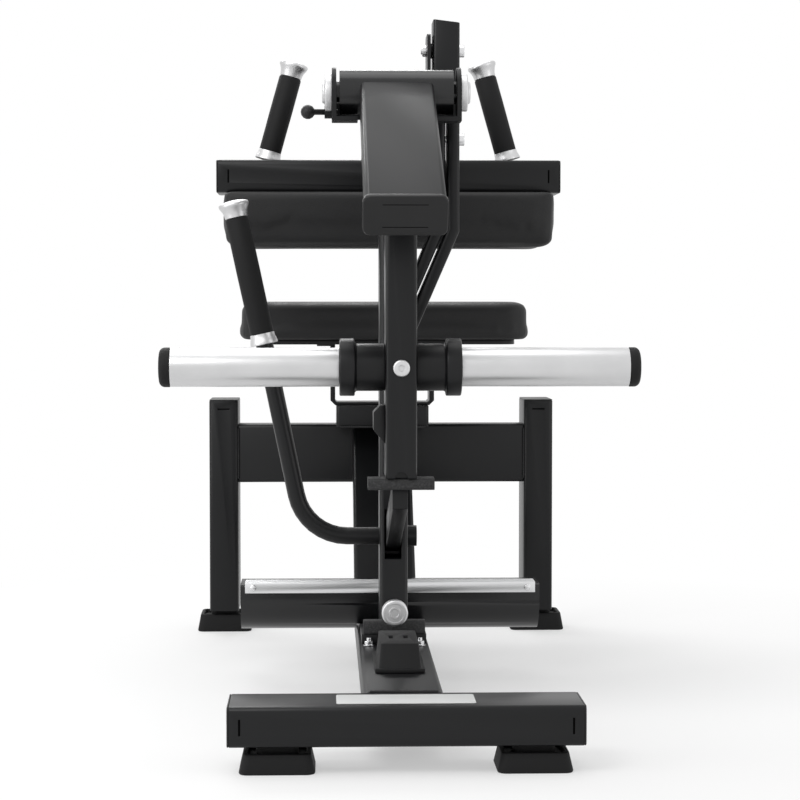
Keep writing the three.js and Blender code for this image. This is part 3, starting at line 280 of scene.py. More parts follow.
# %% [markdown]
# ## Bright metals
# The horn sleeves are turned on a lathe, so their marks run round them: a noise that is very long round the
# bar and very short along it. The tread is drawn through a die, so its marks run along it. The flared caps
# are cast and tumbled, with no direction in their grain. The bare plate on the front bar is a pale print
# with no relief.

# %% Turned, drawn and tumbled metal
STEEL_DARK = (0.57, 0.572, 0.578)
STEEL_PALE = (0.68, 0.68, 0.684)
TURNING_MARKS = (1500, 14, 14)
DRAWING_MARKS = (1, 4, (10, 1400, 1400))
CHROME_CLOUD = (90, 3)


def turned_steel():
    finish = Finish("turned_steel")
    marks = finish.noise(scale=1, detail=4, stretch=TURNING_MARKS)
    smudge = finish.noise(scale=22, detail=3)
    return finish.set(
        Base_Color=finish.blend(smudge, STEEL_DARK, STEEL_PALE),
        Metallic=1.0,
        Roughness=0.27 + 0.05 * marks + 0.05 * smudge,
        Normal=finish.bump(marks, strength=0.015, distance=0.2 * MM),
    )


steel = turned_steel()
tread_metal = clouded(
    "drawn_aluminium", (0.62, 0.624, 0.63), (0.76, 0.764, 0.77), cloud=DRAWING_MARKS, rough=(0.34, 0.12),
    grain=DRAWING_MARKS, relief=(0.08, 0.3 * MM), Metallic=1.0)
cap_metal = clouded(
    "tumbled_aluminium", (0.56, 0.56, 0.565), (0.70, 0.70, 0.705), cloud=(40, 3), rough=(0.36, 0.12),
    grain=(1400, 2), relief=(0.14, 0.3 * MM), Metallic=1.0)
chrome = clouded(
    "bolt_chrome", (0.66, 0.665, 0.67), (0.80, 0.80, 0.81), cloud=CHROME_CLOUD, rough=(0.12, 0.14),
    grain=CHROME_CLOUD, relief=(0.04, 0.4 * MM), Metallic=1.0)
white_print = clouded(
    "printed_white", (0.70, 0.71, 0.70), (0.78, 0.785, 0.78), cloud=(30, 3), rough=(0.4, 0.1))
print("made", steel.name, tread_metal.name, cap_metal.name, chrome.name, white_print.name)

# %% [markdown]
# ## Rubber, moulded plastic and leatherette
# Rubber is matt with a fine stipple from the mould. The end caps are nylon, a little smoother. The pads
# wear leatherette: pebbles about two millimetres across with creases between them, which is what a Voronoi
# cell pattern gives, softened by noise so that no two pebbles match. The slot_shadow finish is painted
# shade: a dull near-black that stands for the shade inside drain slots and shallow grooves.

# %% Soft and moulded finishes
RUBBER_DARK = (0.0045, 0.0045, 0.0048)
RUBBER_PALE = (0.009, 0.009, 0.0094)
SOFT_DARK = (0.0055, 0.0055, 0.006)
NYLON_PALE = (0.0095, 0.0095, 0.010)
LEATHER_PALE = (0.0105, 0.0105, 0.011)
SHADOW_DARK = (0.0008, 0.0008, 0.0008)
SHADOW_PALE = (0.0016, 0.0016, 0.0016)


def leatherette():
    finish = Finish("leatherette")
    warp = finish.noise(scale=160, detail=2)
    pebble = finish.node(
        "ShaderNodeTexVoronoi", {"feature": "SMOOTH_F1"},
        {"Vector": finish.place, "Scale": 520, "Smoothness": 0.5, "Randomness": 1.0})
    crease = finish.noise(scale=38, detail=5)
    bloom = finish.noise(scale=9, detail=3)
    height = pebble * 0.7 + warp * 0.35 + crease * 0.5
    return finish.set(
        Base_Color=finish.blend(bloom, SOFT_DARK, LEATHER_PALE),
        Roughness=0.44 + 0.12 * bloom + 0.1 * pebble,
        Normal=finish.bump(height, strength=0.26, distance=0.7 * MM),
        Specular_IOR_Level=0.36,
    )


rubber = clouded(
    "moulded_rubber", RUBBER_DARK, RUBBER_PALE, cloud=(18, 4), rough=(0.56, 0.2),
    grain=(1300, 3), relief=(0.22, 0.5 * MM), Specular_IOR_Level=0.24)
nylon = clouded(
    "moulded_nylon", SOFT_DARK, NYLON_PALE, cloud=(25, 3), rough=(0.38, 0.14),
    grain=(1700, 2), relief=(0.10, 0.4 * MM), Specular_IOR_Level=0.34)
# Painted shade: near-black and dull, for the shade inside slots and grooves.
shadow = clouded(
    "slot_shadow", SHADOW_DARK, SHADOW_PALE, cloud=(200, 2), rough=(0.85, 0.1), Specular_IOR_Level=0.05)
leather = leatherette()
print("made", rubber.name, nylon.name, shadow.name, leather.name)

# %% [markdown]
# ## Dressing the welded pieces
# The frame's solids are faceted and sharp, where real tube has drawn corners and each cut edge is broken
# before it is coated. So each piece is copied, its loose triangles are merged, flat areas become one face,
# and a Bevel rounds what is still sharp. Smooth shading by angle then blends the facets of the round
# corners.

# %% Dressing helper
MERGE_WITHIN = 0.02 * MM
FLAT_ANGLE = math.radians(0.6)
SHADE_ANGLE = math.radians(38)
BROKEN_EDGE = 0.8 * MM
SHARP = 50


def alone(piece):
    """Make a piece the active one and the only one selected."""
    bpy.ops.object.select_all(action="DESELECT")
    bpy.context.view_layer.objects.active = piece
    piece.select_set(True)


def coated(piece, material, body):
    """Give a piece its material and let it ride a body of the machine."""
    piece.data.materials.clear()
    piece.data.materials.append(material)
    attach(piece, body)


def stand_in(piece, node, material):
    """Coat a piece that takes the place of a solid, on the body of that solid."""
    coated(piece, material, nodes[node]["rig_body"])
    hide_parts(node)


def merged_copy(node, name):
    """Copy a solid's mesh and merge its loose triangles and flat areas. The solid stays as it is."""
    piece = bpy.data.objects.new(name, nodes[node].data.copy())
    bpy.context.scene.collection.objects.link(piece)
    alone(piece)
    bpy.ops.object.mode_set(mode="EDIT")
    bpy.ops.mesh.select_all(action="SELECT")
    bpy.ops.mesh.remove_doubles(threshold=MERGE_WITHIN)
    bpy.ops.mesh.dissolve_limited(angle_limit=FLAT_ANGLE)
    bpy.ops.object.mode_set(mode="OBJECT")
    return piece


def dressed(node, material, edge=BROKEN_EDGE, sharp=SHARP):
    """A skin over a solid. Edges that turn by more than the sharp angle, in degrees, are broken."""
    piece = merged_copy(node, f"{node}_skin")
    if edge:
        bevel = piece.modifiers.new("broken_edge", "BEVEL")
        bevel.width = edge
        bevel.segments = 2
        bevel.limit_method = "ANGLE"
        bevel.angle_limit = math.radians(sharp)
        bpy.ops.object.modifier_apply(modifier=bevel.name)
    bpy.ops.object.shade_smooth_by_angle(angle=SHADE_ANGLE)
    stand_in(piece, node, material)
    return piece


# %% Dress the frame, the levers and the rubber parts
SHARP_TUBES = (
    "front_crossbar", "base_beam", "rear_brace", "rear_crossbeam", "rear_upright_left",
    "rear_upright_right", "main_post", "side_tube_inner", "side_tube_outer", "side_post_head",
    "seat_pedestal", "seat_bracket", "seat_base", "lever_arm", "arm_striker", "pad_tube", "box_arm",
    "catch_finger",
)
PLAIN_EDGES = ("pivot_cradle", "pivot_plate", "pad_arm", "release_bar")
BLOCK_EDGE = 1.6 * MM
BLOCK_SHARP = 40
ARM_CAP_EDGE = 0.6 * MM
SHAFT_EDGE = 0.5 * MM
for node in SHARP_TUBES:
    dressed(node, coat)
for node in PLAIN_EDGES:
    dressed(node, coat, edge=0)
for node in ("pivot_barrel", "foot_rest_body"):
    dressed(node, gloss, edge=0)
for node in ("lower_band_peg", "catch_bar"):
    dressed(node, grit)
dressed("stop_block", rubber, edge=BLOCK_EDGE, sharp=BLOCK_SHARP)
dressed("post_bumper", rubber)
arm_cap = dressed("box_arm_cap", nylon, edge=ARM_CAP_EDGE)
dressed("lock_pin", nylon, edge=0)
for node in ("pivot_shaft", "toe_roller", "pad_pivot_shaft"):
    dressed(node, steel, edge=SHAFT_EDGE)

# %% [markdown]
# ## Turned pieces
# Horn sleeves, hubs, rubber ends, bolts, grips and flared caps are all turned. As on a lathe drawing, each
# is a list of radii and lengths: a disc is extruded ring by ring, and each new ring is scaled to its
# radius. The piece is then laid along its axis.

# %% Turning helper
ROUND = 96
GRIP_ROUND = 72
BOLT_ROUND = 48
NUT_ROUND = 36
TURNED_ANGLE = math.radians(32)


def turned(name, profile, start, direction, sides=ROUND):
    """Build a profile of (radius, length) points up from the origin, then lay it from its start."""
    bpy.ops.object.select_all(action="DESELECT")
    radius, length = profile[0]
    bpy.ops.mesh.primitive_circle_add(vertices=sides, radius=radius, fill_type="NGON")
    piece = bpy.context.object
    piece.name = name
    bpy.ops.object.mode_set(mode="EDIT")
    bpy.ops.mesh.select_all(action="SELECT")
    for next_radius, next_length in profile[1:]:
        step = (0, 0, next_length - length)
        bpy.ops.mesh.extrude_region_move(TRANSFORM_OT_translate={"value": step})
        ratio = next_radius / radius
        bpy.ops.transform.resize(value=(ratio, ratio, 1), center_override=(0, 0, next_length))
        radius, length = next_radius, next_length
    bpy.ops.mesh.select_all(action="SELECT")
    bpy.ops.mesh.normals_make_consistent(inside=False)
    bpy.ops.object.mode_set(mode="OBJECT")
    piece.rotation_mode = "QUATERNION"
    piece.rotation_quaternion = Vector((0, 0, 1)).rotation_difference(Vector(direction))
    piece.location = start
    bpy.ops.object.transform_apply(location=True, rotation=True, scale=True)
    bpy.ops.object.shade_smooth_by_angle(angle=TURNED_ANGLE)
    return piece


def rounded_end(radius, length, rounding, steps=6):
    """Profile points of a rounded outer corner that ends a turned piece at this length."""
    points = []
    for step in range(steps + 1):
        turn = step / steps * math.pi / 2
        inward, short = 1 - math.cos(turn), 1 - math.sin(turn)
        points.append((radius - rounding * inward, length - rounding * short))
    return points


def rounded_start(radius, rounding, start=0.0, steps=6):
    """The same corner at the beginning of a piece."""
    points = []
    for step in range(steps + 1):
        turn = step / steps * math.pi / 2
        inward, along = 1 - math.sin(turn), 1 - math.cos(turn)
        points.append((radius - rounding * inward, start + rounding * along))
    return points


def end_middle(low, high, sign):
    """Middle of the left (-1) or right (1) end of a box, from which a piece across the machine starts."""
    return Vector((low.x if sign > 0 else high.x, (low.y + high.y) / 2, (low.z + high.z) / 2))


def back_middle(low, high):
    """Middle of the back of a box, from which a bolt points to the front."""
    return Vector(((low.x + high.x) / 2, high.y, (low.z + high.z) / 2))


print("turning helper ready")

# %% [markdown]
# ## Weight horns
# Each horn is a bright steel sleeve between a black flange, which keeps the plates off the arm, and a
# rubber end that guards them. The sleeve has a fine break at its end. Sizes are read from the solids that
# the pieces stand for.

# %% Weight horns
SLEEVE_INNER_BREAK = 0.6 * MM
SLEEVE_OUTER_BREAK = 0.8 * MM
CAP_BREAK = 0.8 * MM
CAP_ROUND = 7.5 * MM
CAP_CROWN = 1 * MM
CROWN_FLAT = 0.62
CROWN_TOP = 0.3
CROWN_STEPS = 10
HUB_RADIUS = 31 * MM
HUB_BREAK = 1.2 * MM
HUB_STEP = 39 * MM
HUB_COVE = 2.5 * MM
FLANGE_ROUND = 2 * MM
FLANGE_BORE = 29 * MM
FLANGE_DISH = 0.8 * MM
DISH_SLOPE = 0.6 * MM


def horn_sleeve(side, sign, low, high):
    radius, length = (high.z - low.z) / 2, high.x - low.x
    profile = [*rounded_start(radius, SLEEVE_INNER_BREAK), *rounded_end(radius, length, SLEEVE_OUTER_BREAK)]
    return turned(f"sleeve_{side}", profile, end_middle(low, high, sign), (sign, 0, 0))


def horn_end(side, sign, low, high):
    """Rubber end with a wide round rim and a low crown."""
    radius, length = (high.z - low.z) / 2, high.x - low.x
    rim = length - CAP_CROWN
    profile = [
        *rounded_start(radius, CAP_BREAK), *rounded_end(radius, rim, CAP_ROUND, CROWN_STEPS),
        (radius * CROWN_FLAT, rim + 0.4 * CAP_CROWN), (radius * CROWN_TOP, length)]
    return turned(f"sleeve_end_{side}", profile, end_middle(low, high, sign), (sign, 0, 0))


def horn_hub(side, sign, low, high):
    """Short tube with a cove up to the flange, whose face is dished round the sleeve."""
    flange, length = (high.z - low.z) / 2, high.x - low.x
    profile = [
        *rounded_start(HUB_RADIUS, HUB_BREAK), (HUB_RADIUS, HUB_STEP - HUB_COVE),
        (HUB_RADIUS + 0.4 * HUB_COVE, HUB_STEP - 0.4 * HUB_COVE), (HUB_RADIUS + HUB_COVE, HUB_STEP),
        *rounded_start(flange, FLANGE_ROUND, HUB_STEP), *rounded_end(flange, length, FLANGE_ROUND),
        (FLANGE_BORE, length), (FLANGE_BORE - DISH_SLOPE, length - FLANGE_DISH)]
    return turned(f"hub_{side}", profile, end_middle(low, high, sign), (sign, 0, 0))


for side, sign in (("left", -1), ("right", 1)):
    for node, build, material, slot in (
        ("horn_sleeve", horn_sleeve, steel, "sleeve_steel"),
        ("horn_cap", horn_end, rubber, "rubber"),
        ("horn_hub", horn_hub, coat, "frame_coat"),
    ):
        piece = build(side, sign, *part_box(f"{node}_{side}"))
        stand_in(piece, f"{node}_{side}", material)
        print(piece.name, "size", [round(v, 4) for v in piece.dimensions])

# %% [markdown]
# ## Bolts
# The bolts are turned too. The big bolt has a washer behind its head and a ring groove on its face, the
# pivot caps are discs with a raised middle, and the long bolts show a nut with the end of the thread on the
# other side. A socket is a round pocket: the last rings of the profile step down to a small disc.

# %% Bolts through the arm and the post
SOCKET_BREAK = 0.5 * MM
SOCKET_DEPTH = 3 * MM
ARM_HEAD_ROUND = 2.4 * MM
ARM_SOCKET = 4 * MM
WASHER = 13 * MM
WASHER_DEEP = 6 * MM
WASHER_BREAK = 0.4 * MM
SHANK = 6.5 * MM
BIG_HEAD_DEEP = 15 * MM
BIG_HEAD_EDGE = 1 * MM
BIG_HEAD_ROUND = 2.6 * MM
GROOVE_OUTER = 13.4 * MM
GROOVE_INNER = 8 * MM
GROOVE_SLOPE = 0.6 * MM
GROOVE_DEPTH = 0.7 * MM
CENTRE = 6 * MM
CENTRE_DEPTH = 1.4 * MM


def socket_head(name, radius, length, rounding, socket, start, direction):
    profile = [
        (radius, 0), *rounded_end(radius, length, rounding), (socket + SOCKET_BREAK, length),
        (socket, length - SOCKET_BREAK), (socket, length - SOCKET_DEPTH)]
    return turned(name, profile, start, direction, sides=BOLT_ROUND)


low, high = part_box("post_bolt")
head = (high.z - low.z) / 2
reach = high.y - low.y
head_foot = reach - BIG_HEAD_DEEP
big_bolt = turned(
    "big_bolt",
    [(WASHER - WASHER_BREAK, 0), (WASHER, WASHER_BREAK), (WASHER, WASHER_DEEP - WASHER_BREAK),
     (WASHER - WASHER_BREAK, WASHER_DEEP), (SHANK, WASHER_DEEP), (SHANK, head_foot),
     (head - BIG_HEAD_EDGE, head_foot), (head, head_foot + BIG_HEAD_EDGE),
     *rounded_end(head, reach, BIG_HEAD_ROUND), (GROOVE_OUTER, reach),
     (GROOVE_OUTER - GROOVE_SLOPE, reach - GROOVE_DEPTH), (GROOVE_INNER + GROOVE_SLOPE, reach - GROOVE_DEPTH),
     (GROOVE_INNER, reach), (CENTRE, reach), (CENTRE - GROOVE_SLOPE, reach - CENTRE_DEPTH)],
    back_middle(low, high), (0, -1, 0))
stand_in(big_bolt, "post_bolt", cap_metal)

low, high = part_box("horn_bolt")
arm_bolt = socket_head(
    "arm_bolt", (high.z - low.z) / 2, high.y - low.y, ARM_HEAD_ROUND, ARM_SOCKET,
    back_middle(low, high), (0, -1, 0))
stand_in(arm_bolt, "horn_bolt", cap_metal)
print("made", big_bolt.name, arm_bolt.name)

# %% Pivot caps and long bolts
DISC_DEEP = 9 * MM
DISC_BREAK = 0.6 * MM
DISC_ROUND = 1.8 * MM
RAISED = 15 * MM
RAISED_ROUND = 2.4 * MM
RAISED_COVE = ((17.5 * MM, DISC_DEEP + 0.1 * MM), (16.5 * MM, DISC_DEEP + 0.6 * MM))
RAISED_FLAT = 6 * MM
THREAD = 5 * MM
THREAD_TIP = 4.2 * MM
THREAD_BREAK = 0.6 * MM
THREAD_SHOWS = 2.2 * MM
NUT = 8.5 * MM
NUT_CHAMFER = 0.7 * MM
NUT_FACE = 3 * MM
NUT_DEEP = 8 * MM
NUT_BACK = 0.1 * MM
LONG_HEAD_DEEP = 8 * MM
LONG_HEAD_ROUND = 1.2 * MM
LONG_SOCKET = 4.2 * MM
LONG_SOCKET_LIP = 0.4 * MM
LONG_SOCKET_DEPTH = 4 * MM

for side, sign in (("left", -1), ("right", 1)):
    low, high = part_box(f"pivot_cap_{side}")
    radius, length = (high.z - low.z) / 2, high.x - low.x
    disc = turned(
        f"pivot_disc_{side}",
        [*rounded_start(radius, DISC_BREAK), *rounded_end(radius, DISC_DEEP, DISC_ROUND), *RAISED_COVE,
         *rounded_end(RAISED, length, RAISED_ROUND), (RAISED_FLAT, length)],
        end_middle(low, high, sign), (sign, 0, 0))
    stand_in(disc, f"pivot_cap_{side}", cap_metal)

for name in ("upper", "lower"):
    low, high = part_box(f"plate_bolt_{name}")
    radius, length = (high.z - low.z) / 2, high.x - low.x
    bolt = turned(
        f"long_bolt_{name}",
        [(THREAD_TIP, 0), (THREAD, THREAD_BREAK), (THREAD, THREAD_SHOWS), (NUT - NUT_CHAMFER, THREAD_SHOWS),
         (NUT, NUT_FACE), (NUT, NUT_DEEP - NUT_BACK), (THREAD, NUT_DEEP), (THREAD, length - LONG_HEAD_DEEP),
         (radius, length - LONG_HEAD_DEEP), *rounded_end(radius, length, LONG_HEAD_ROUND),
         (LONG_SOCKET + LONG_SOCKET_LIP, length), (LONG_SOCKET, length - SOCKET_BREAK),
         (LONG_SOCKET, length - LONG_SOCKET_DEPTH)],
        end_middle(low, high, 1), (1, 0, 0), sides=BOLT_ROUND)
    stand_in(bolt, f"plate_bolt_{name}", chrome)
print("bolts made")

# %% [markdown]
# ## Grips and flared caps
# A grip is a foam rubber sleeve. Above it sits a cast cap that flares out and ends
# in a shallow dome, and below it a polished collar. The axis of each handle comes from its lean and from
# the box of the grip's solid: the foot and the top of that box, inset by the radii of the solid's bead and of
# the grip.

# %% Handle axes
GRIP = 17 * MM
BEAD = 18.4 * MM


def leaning_axis(node, lean_sign, lean_degrees):
    """Foot, heading and length of a grip that leans across the machine."""
    low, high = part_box(node)
    lean = math.radians(lean_degrees)
    heading = Vector((lean_sign * math.sin(lean), 0, math.cos(lean)))
    depth = (low.y + high.y) / 2
    inset = BEAD * math.cos(lean)
    foot_x = low.x + inset if lean_sign > 0 else high.x - inset
    foot = Vector((foot_x, depth, low.z + BEAD * math.sin(lean)))
    length = (high.z - GRIP * math.sin(lean) - foot.z) / math.cos(lean)
    return foot, heading, length


# %% Grip, cap and collar
GRIP_FOOT = 14 * MM
GRIP_BREAK = 1 * MM
GRIP_SWELL = 1.01
FLARE = 22 * MM
FLANK_FOOT = 16.6 * MM
FLANK_SPREAD = 5.0 * MM
FLANK_HEIGHT = 16.5 * MM
FLANK_POWER = 2.2
FLANK_SHARES = (0.1, 0.3, 0.5, 0.65, 0.8, 0.9, 1.0)
CAP_NECK = ((15.6 * MM, 0), (16.5 * MM, 0.8 * MM))
RIM_BAND = ((FLARE, 18 * MM), (FLARE, 19 * MM))
RIM_TOP = 22.6 * MM
RIM_ROUND = 3.4 * MM
RIM_STEPS = 8
DOME = ((14 * MM, 24 * MM), (9 * MM, 24.9 * MM), (3 * MM, 25.3 * MM))
COLLAR = 19 * MM
COLLAR_BULGE = 1 * MM
COLLAR_BAND = (0.9 * MM, 3 * MM)
COLLAR_SHOULDER = 0.2 * MM
NECK_FOOT = 0.6 * MM
NECK_TOP = 0.5 * MM
NECK_BREAK = 0.6 * MM
NECK_LIP = 0.4 * MM


def grip_sleeve(name, foot, heading, length):
    """Sleeve that swells a little where the palm lies."""
    profile = [
        (GRIP_FOOT, 0), *rounded_start(GRIP, GRIP_BREAK), (GRIP, length * 0.3),
        (GRIP * GRIP_SWELL, length * 0.55), (GRIP, length - 2 * GRIP_BREAK), (GRIP - GRIP_BREAK, length)]
    return turned(name, profile, foot, heading, sides=GRIP_ROUND)


def flared_cap(name, start, heading):
    """Cast cap: neck as wide as the grip, hollow flank, rounded rim and a shallow dome."""
    flank = [
        (FLANK_FOOT + FLANK_SPREAD * share ** FLANK_POWER, FLANK_HEIGHT * share) for share in FLANK_SHARES]
    rim = rounded_end(FLARE, RIM_TOP, RIM_ROUND, RIM_STEPS)[1:]
    profile = [*CAP_NECK, *flank, *RIM_BAND, *rim, *DOME]
    return turned(name, profile, start, heading, sides=GRIP_ROUND)


def polished_collar(name, start, heading, length):
    """Ring at the foot of a grip: wide at its base, as wide as the grip at its top."""
    widest = COLLAR + COLLAR_BULGE
    profile = [
        (COLLAR, 0), *((widest, level) for level in COLLAR_BAND), (COLLAR + COLLAR_SHOULDER, length * 0.38),
        (COLLAR - COLLAR_BULGE, length * 0.62), (GRIP + NECK_FOOT, length * 0.86),
        (GRIP + NECK_TOP, length - NECK_BREAK), (GRIP - NECK_LIP, length)]
    return turned(name, profile, start, heading, sides=GRIP_ROUND)


print("handle helpers ready")

# %% Pad handles and release grip
PAD_LEAN = 15.6
PAD_CAP_GAP = 0.3 * MM
PAD_COLLAR_RISE = 1.4 * MM
PAD_COLLAR_LAP = 2 * MM
RELEASE_LEAN = 12.25
RELEASE_CAP_GAP = 0.6 * MM
RELEASE_COLLAR_DROP = 13.3 * MM
RELEASE_COLLAR_LENGTH = 16 * MM

for side, lean in (("left", 1), ("right", -1)):
    foot, heading, length = leaning_axis(f"pad_handle_grip_{side}", lean, PAD_LEAN)
    grip = grip_sleeve(f"pad_grip_{side}", foot, heading, length)
    stand_in(grip, f"pad_handle_grip_{side}", rubber)
    cap = flared_cap(f"pad_cap_{side}", foot + heading * (length + PAD_CAP_GAP), heading)
    stand_in(cap, f"pad_handle_core_{side}", cap_metal)
    tube_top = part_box(f"pad_handle_core_{side}")[0].z
    below = (foot.z - tube_top) / heading.z
    collar = polished_collar(
        f"pad_collar_{side}", foot - heading * (below - PAD_COLLAR_RISE), heading, below + PAD_COLLAR_LAP)
    coated(collar, cap_metal, "pad_lever")
    print("pad handle", side, "grip length", round(length, 4))

foot, heading, length = leaning_axis("release_grip", -1, RELEASE_LEAN)
grip = grip_sleeve("release_sleeve", foot, heading, length)
stand_in(grip, "release_grip", rubber)
cap = flared_cap("release_cap", foot + heading * (length + RELEASE_CAP_GAP), heading)
stand_in(cap, "release_grip_cap", cap_metal)
collar = polished_collar(
    "release_collar", foot - heading * RELEASE_COLLAR_DROP, heading, RELEASE_COLLAR_LENGTH)
stand_in(collar, "release_grip_collar", cap_metal)
print("release grip length", round(length, 4))

# %% [markdown]
# ## Tube ends and the bare plate
# Each open tube is closed by a thin nylon plug whose rim shows as a fine line. A plug is a plate with round
# corners: a cube scaled to the tube, with its corner edges bevelled wide and its rim bevelled fine. The
# edges for each bevel are marked by a weight. The front bar also carries a thin bright plate, which is left
# bare here.

# %% Plates with round corners
X, Y, Z = range(3)
SAME_PLACE = 1e-6
PARALLEL = 0.99
CORNER_SEGMENTS = 6
RIM_SEGMENTS = 3
PLATE_ANGLE = math.radians(35)


def block(name, low, high):
    """A cube scaled to fill the box between two corners."""
    bpy.ops.object.select_all(action="DESELECT")
    bpy.ops.mesh.primitive_cube_add(size=1, location=(Vector(low) + Vector(high)) / 2)
    piece = bpy.context.object
    piece.name = name
    piece.scale = Vector(high) - Vector(low)
    bpy.ops.object.transform_apply(location=True, rotation=True, scale=True)
    return piece


def bevel_where(piece, width, segments, wanted):
    """Bevel the edges that a test of their two ends picks out."""
    bevel = piece.modifiers.new("round_edges", "BEVEL")
    bevel.width = width
    bevel.segments = segments
    bevel.limit_method = "WEIGHT"
    mesh = piece.data
    weights = mesh.attributes.get("bevel_weight_edge")
    if not weights:
        weights = mesh.attributes.new("bevel_weight_edge", "FLOAT", "EDGE")
    for edge in mesh.edges:
        first, second = (mesh.vertices[index].co for index in edge.vertices)
        weights.data[edge.index].value = float(wanted(first, second))
    alone(piece)
    bpy.ops.object.modifier_apply(modifier=bevel.name)


def rounded_plate(name, low, high, thin_axis, corner, rim):
    """A block with wide round corners, seen along its thin axis, and a fine round rim."""

    def across(first, second):
        return abs((second - first).normalized()[thin_axis]) > PARALLEL

    def around(first, second):
        return abs(second[thin_axis] - first[thin_axis]) < SAME_PLACE

    piece = block(name, low, high)
    bevel_where(piece, corner, CORNER_SEGMENTS, across)
    bevel_where(piece, rim, RIM_SEGMENTS, around)
    bpy.ops.object.shade_smooth_by_angle(angle=PLATE_ANGLE)
    return piece


print("plate helper ready")

# %% Plugs and the bare plate
PLUG = 2.4 * MM
PLUG_GAP = 0.4 * MM
PLUG_CORNER = 5.6 * MM
PLUG_RIM = 0.8 * MM
for node, body in (("front_crossbar", "frame"), ("pad_tube", "pad_lever")):
    low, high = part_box(node)
    for side, x in (("left", low.x), ("right", high.x)):
        start, end = (x - PLUG, x) if side == "left" else (x, x + PLUG)
        plug = rounded_plate(
            f"{node}_plug_{side}", (start, low.y + PLUG_GAP, low.z + PLUG_GAP),
            (end, high.y - PLUG_GAP, high.z - PLUG_GAP), X, PLUG_CORNER, PLUG_RIM)
        coated(plug, nylon, body)
for side in ("left", "right"):
    low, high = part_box(f"rear_upright_{side}")
    plug = rounded_plate(
        f"upright_plug_{side}", (low.x + PLUG_GAP, low.y + PLUG_GAP, high.z),
        (high.x - PLUG_GAP, high.y - PLUG_GAP, high.z + PLUG), Z, PLUG_CORNER, PLUG_RIM)
    coated(plug, nylon, "frame")

PLATE_HALF = 85 * MM
PLATE_FRONT = 18 * MM
PLATE_BACK = 79 * MM
PLATE_THICK = 0.9 * MM
PLATE_CORNER = 4 * MM
PLATE_RIM = 0.25 * MM
low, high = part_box("front_crossbar")
bare_plate = rounded_plate(
    "bare_plate", (-PLATE_HALF, low.y + PLATE_FRONT, high.z),
    (PLATE_HALF, low.y + PLATE_BACK, high.z + PLATE_THICK), Z, PLATE_CORNER, PLATE_RIM)
coated(bare_plate, white_print, "frame")
print("plugs and plate made")

# %% [markdown]
# ## Drain slots and foot studs
# A small slot near each tube end lets the wash drain before coating. The slots are cut in the solids, and a
# dull dark plate just inside each one is painted shade, standing for the shaded hollow of the tube behind
# it. Two studs with nuts hold the foot of the post.

# %% Slots
SLOT_WIDE = 2.5 * MM
SLOT_LONG = 20 * MM
SLOT_SINK = 0.5 * MM
SLOT_FLOOR = 1.7 * MM
SLOT_CORNER = 0.3 * MM
SLOT_RIM = 0.1 * MM
BAR_SLOT_INSET = 13 * MM
PAD_SLOT_INSET = 16 * MM
UPRIGHT_SLOT_DROP = 13 * MM


def slot_shade_plate(name, middle, wide, tall, body):
    """A plate of painted shade behind a slot. The middle is a place on the front face of the tube."""
    x, face, z = middle
    plate = rounded_plate(
        name, (x - wide / 2, face + SLOT_SINK, z - tall / 2), (x + wide / 2, face + SLOT_FLOOR, z + tall / 2),
        Y, SLOT_CORNER, SLOT_RIM)
    coated(plate, shadow, body)


for node, body, inset in (
    ("front_crossbar", "frame", BAR_SLOT_INSET), ("pad_tube", "pad_lever", PAD_SLOT_INSET),
):
    low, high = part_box(node)
    for side, x in (("left", low.x + inset), ("right", high.x - inset)):
        slot_shade_plate(f"{node}_slot_{side}", (x, low.y, (low.z + high.z) / 2), SLOT_WIDE, SLOT_LONG, body)
for side in ("left", "right"):
    low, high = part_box(f"rear_upright_{side}")
    middle = ((low.x + high.x) / 2, low.y, high.z - UPRIGHT_SLOT_DROP)
    slot_shade_plate(f"upright_slot_{side}", middle, SLOT_LONG, SLOT_WIDE, "frame")
print("slots made")

# %% Foot studs
STUD_SPREAD = 36 * MM
STUD_AHEAD = 15 * MM
STUD_LIFT = 0.3 * MM
FOOT_WASHER = ((7.6 * MM, 0), (8 * MM, 0.5 * MM), (8 * MM, 1.4 * MM), (6 * MM, 1.5 * MM))
FOOT_NUT = ((6.2 * MM, 2.2 * MM), (6.2 * MM, 6.4 * MM), (5.2 * MM, 7 * MM))
FOOT_THREAD = ((3.4 * MM, 7 * MM), (3.4 * MM, 10.6 * MM), (2.8 * MM, 11.2 * MM))
foot_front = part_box("main_post")[0].y
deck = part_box("base_beam")[1].z
for side, sign in (("left", -1), ("right", 1)):
    spot = Vector((sign * STUD_SPREAD, foot_front - STUD_AHEAD, deck + STUD_LIFT))
    nut = turned(
        f"foot_nut_{side}", [*FOOT_WASHER, *FOOT_NUT, *FOOT_THREAD], spot, (0, 0, 1), sides=NUT_ROUND)
    coated(nut, chrome, "frame")
print("studs made")

# %% [markdown]
# ## Weld beads
# Where tube meets tube a weld bead fills the corner: a thin rope whose ripples stand a few millimetres
# apart, one for each step of the torch. A bead is a turned piece too, with a profile that swells at every
# ripple. It stops short of the round corners of the tube.

# %% Weld beads
RIPPLE = 3 * MM
WELD_RADIUS = 2.1 * MM
WELD_SWELL = 0.45 * MM
WELD_TIP = 0.4 * WELD_RADIUS
WELD_SIDES = 10
LEAST_RIPPLES = 4
BEND = 6 * MM


def weld(name, start, end, body):
    """A bead from one place to another."""
    start, end = Vector(start), Vector(end)
    run = end - start
    count = max(LEAST_RIPPLES, round(run.length / RIPPLE))
    pitch = run.length / count
    profile = [(WELD_TIP, 0)]
    for ripple in range(count):
        profile.append((WELD_RADIUS, (ripple + 0.25) * pitch))
        profile.append((WELD_RADIUS + WELD_SWELL, (ripple + 0.6) * pitch))
    profile.append((WELD_TIP, run.length))
    bead = turned(name, profile, start, run.normalized(), sides=WELD_SIDES)
    coated(bead, coat, body)


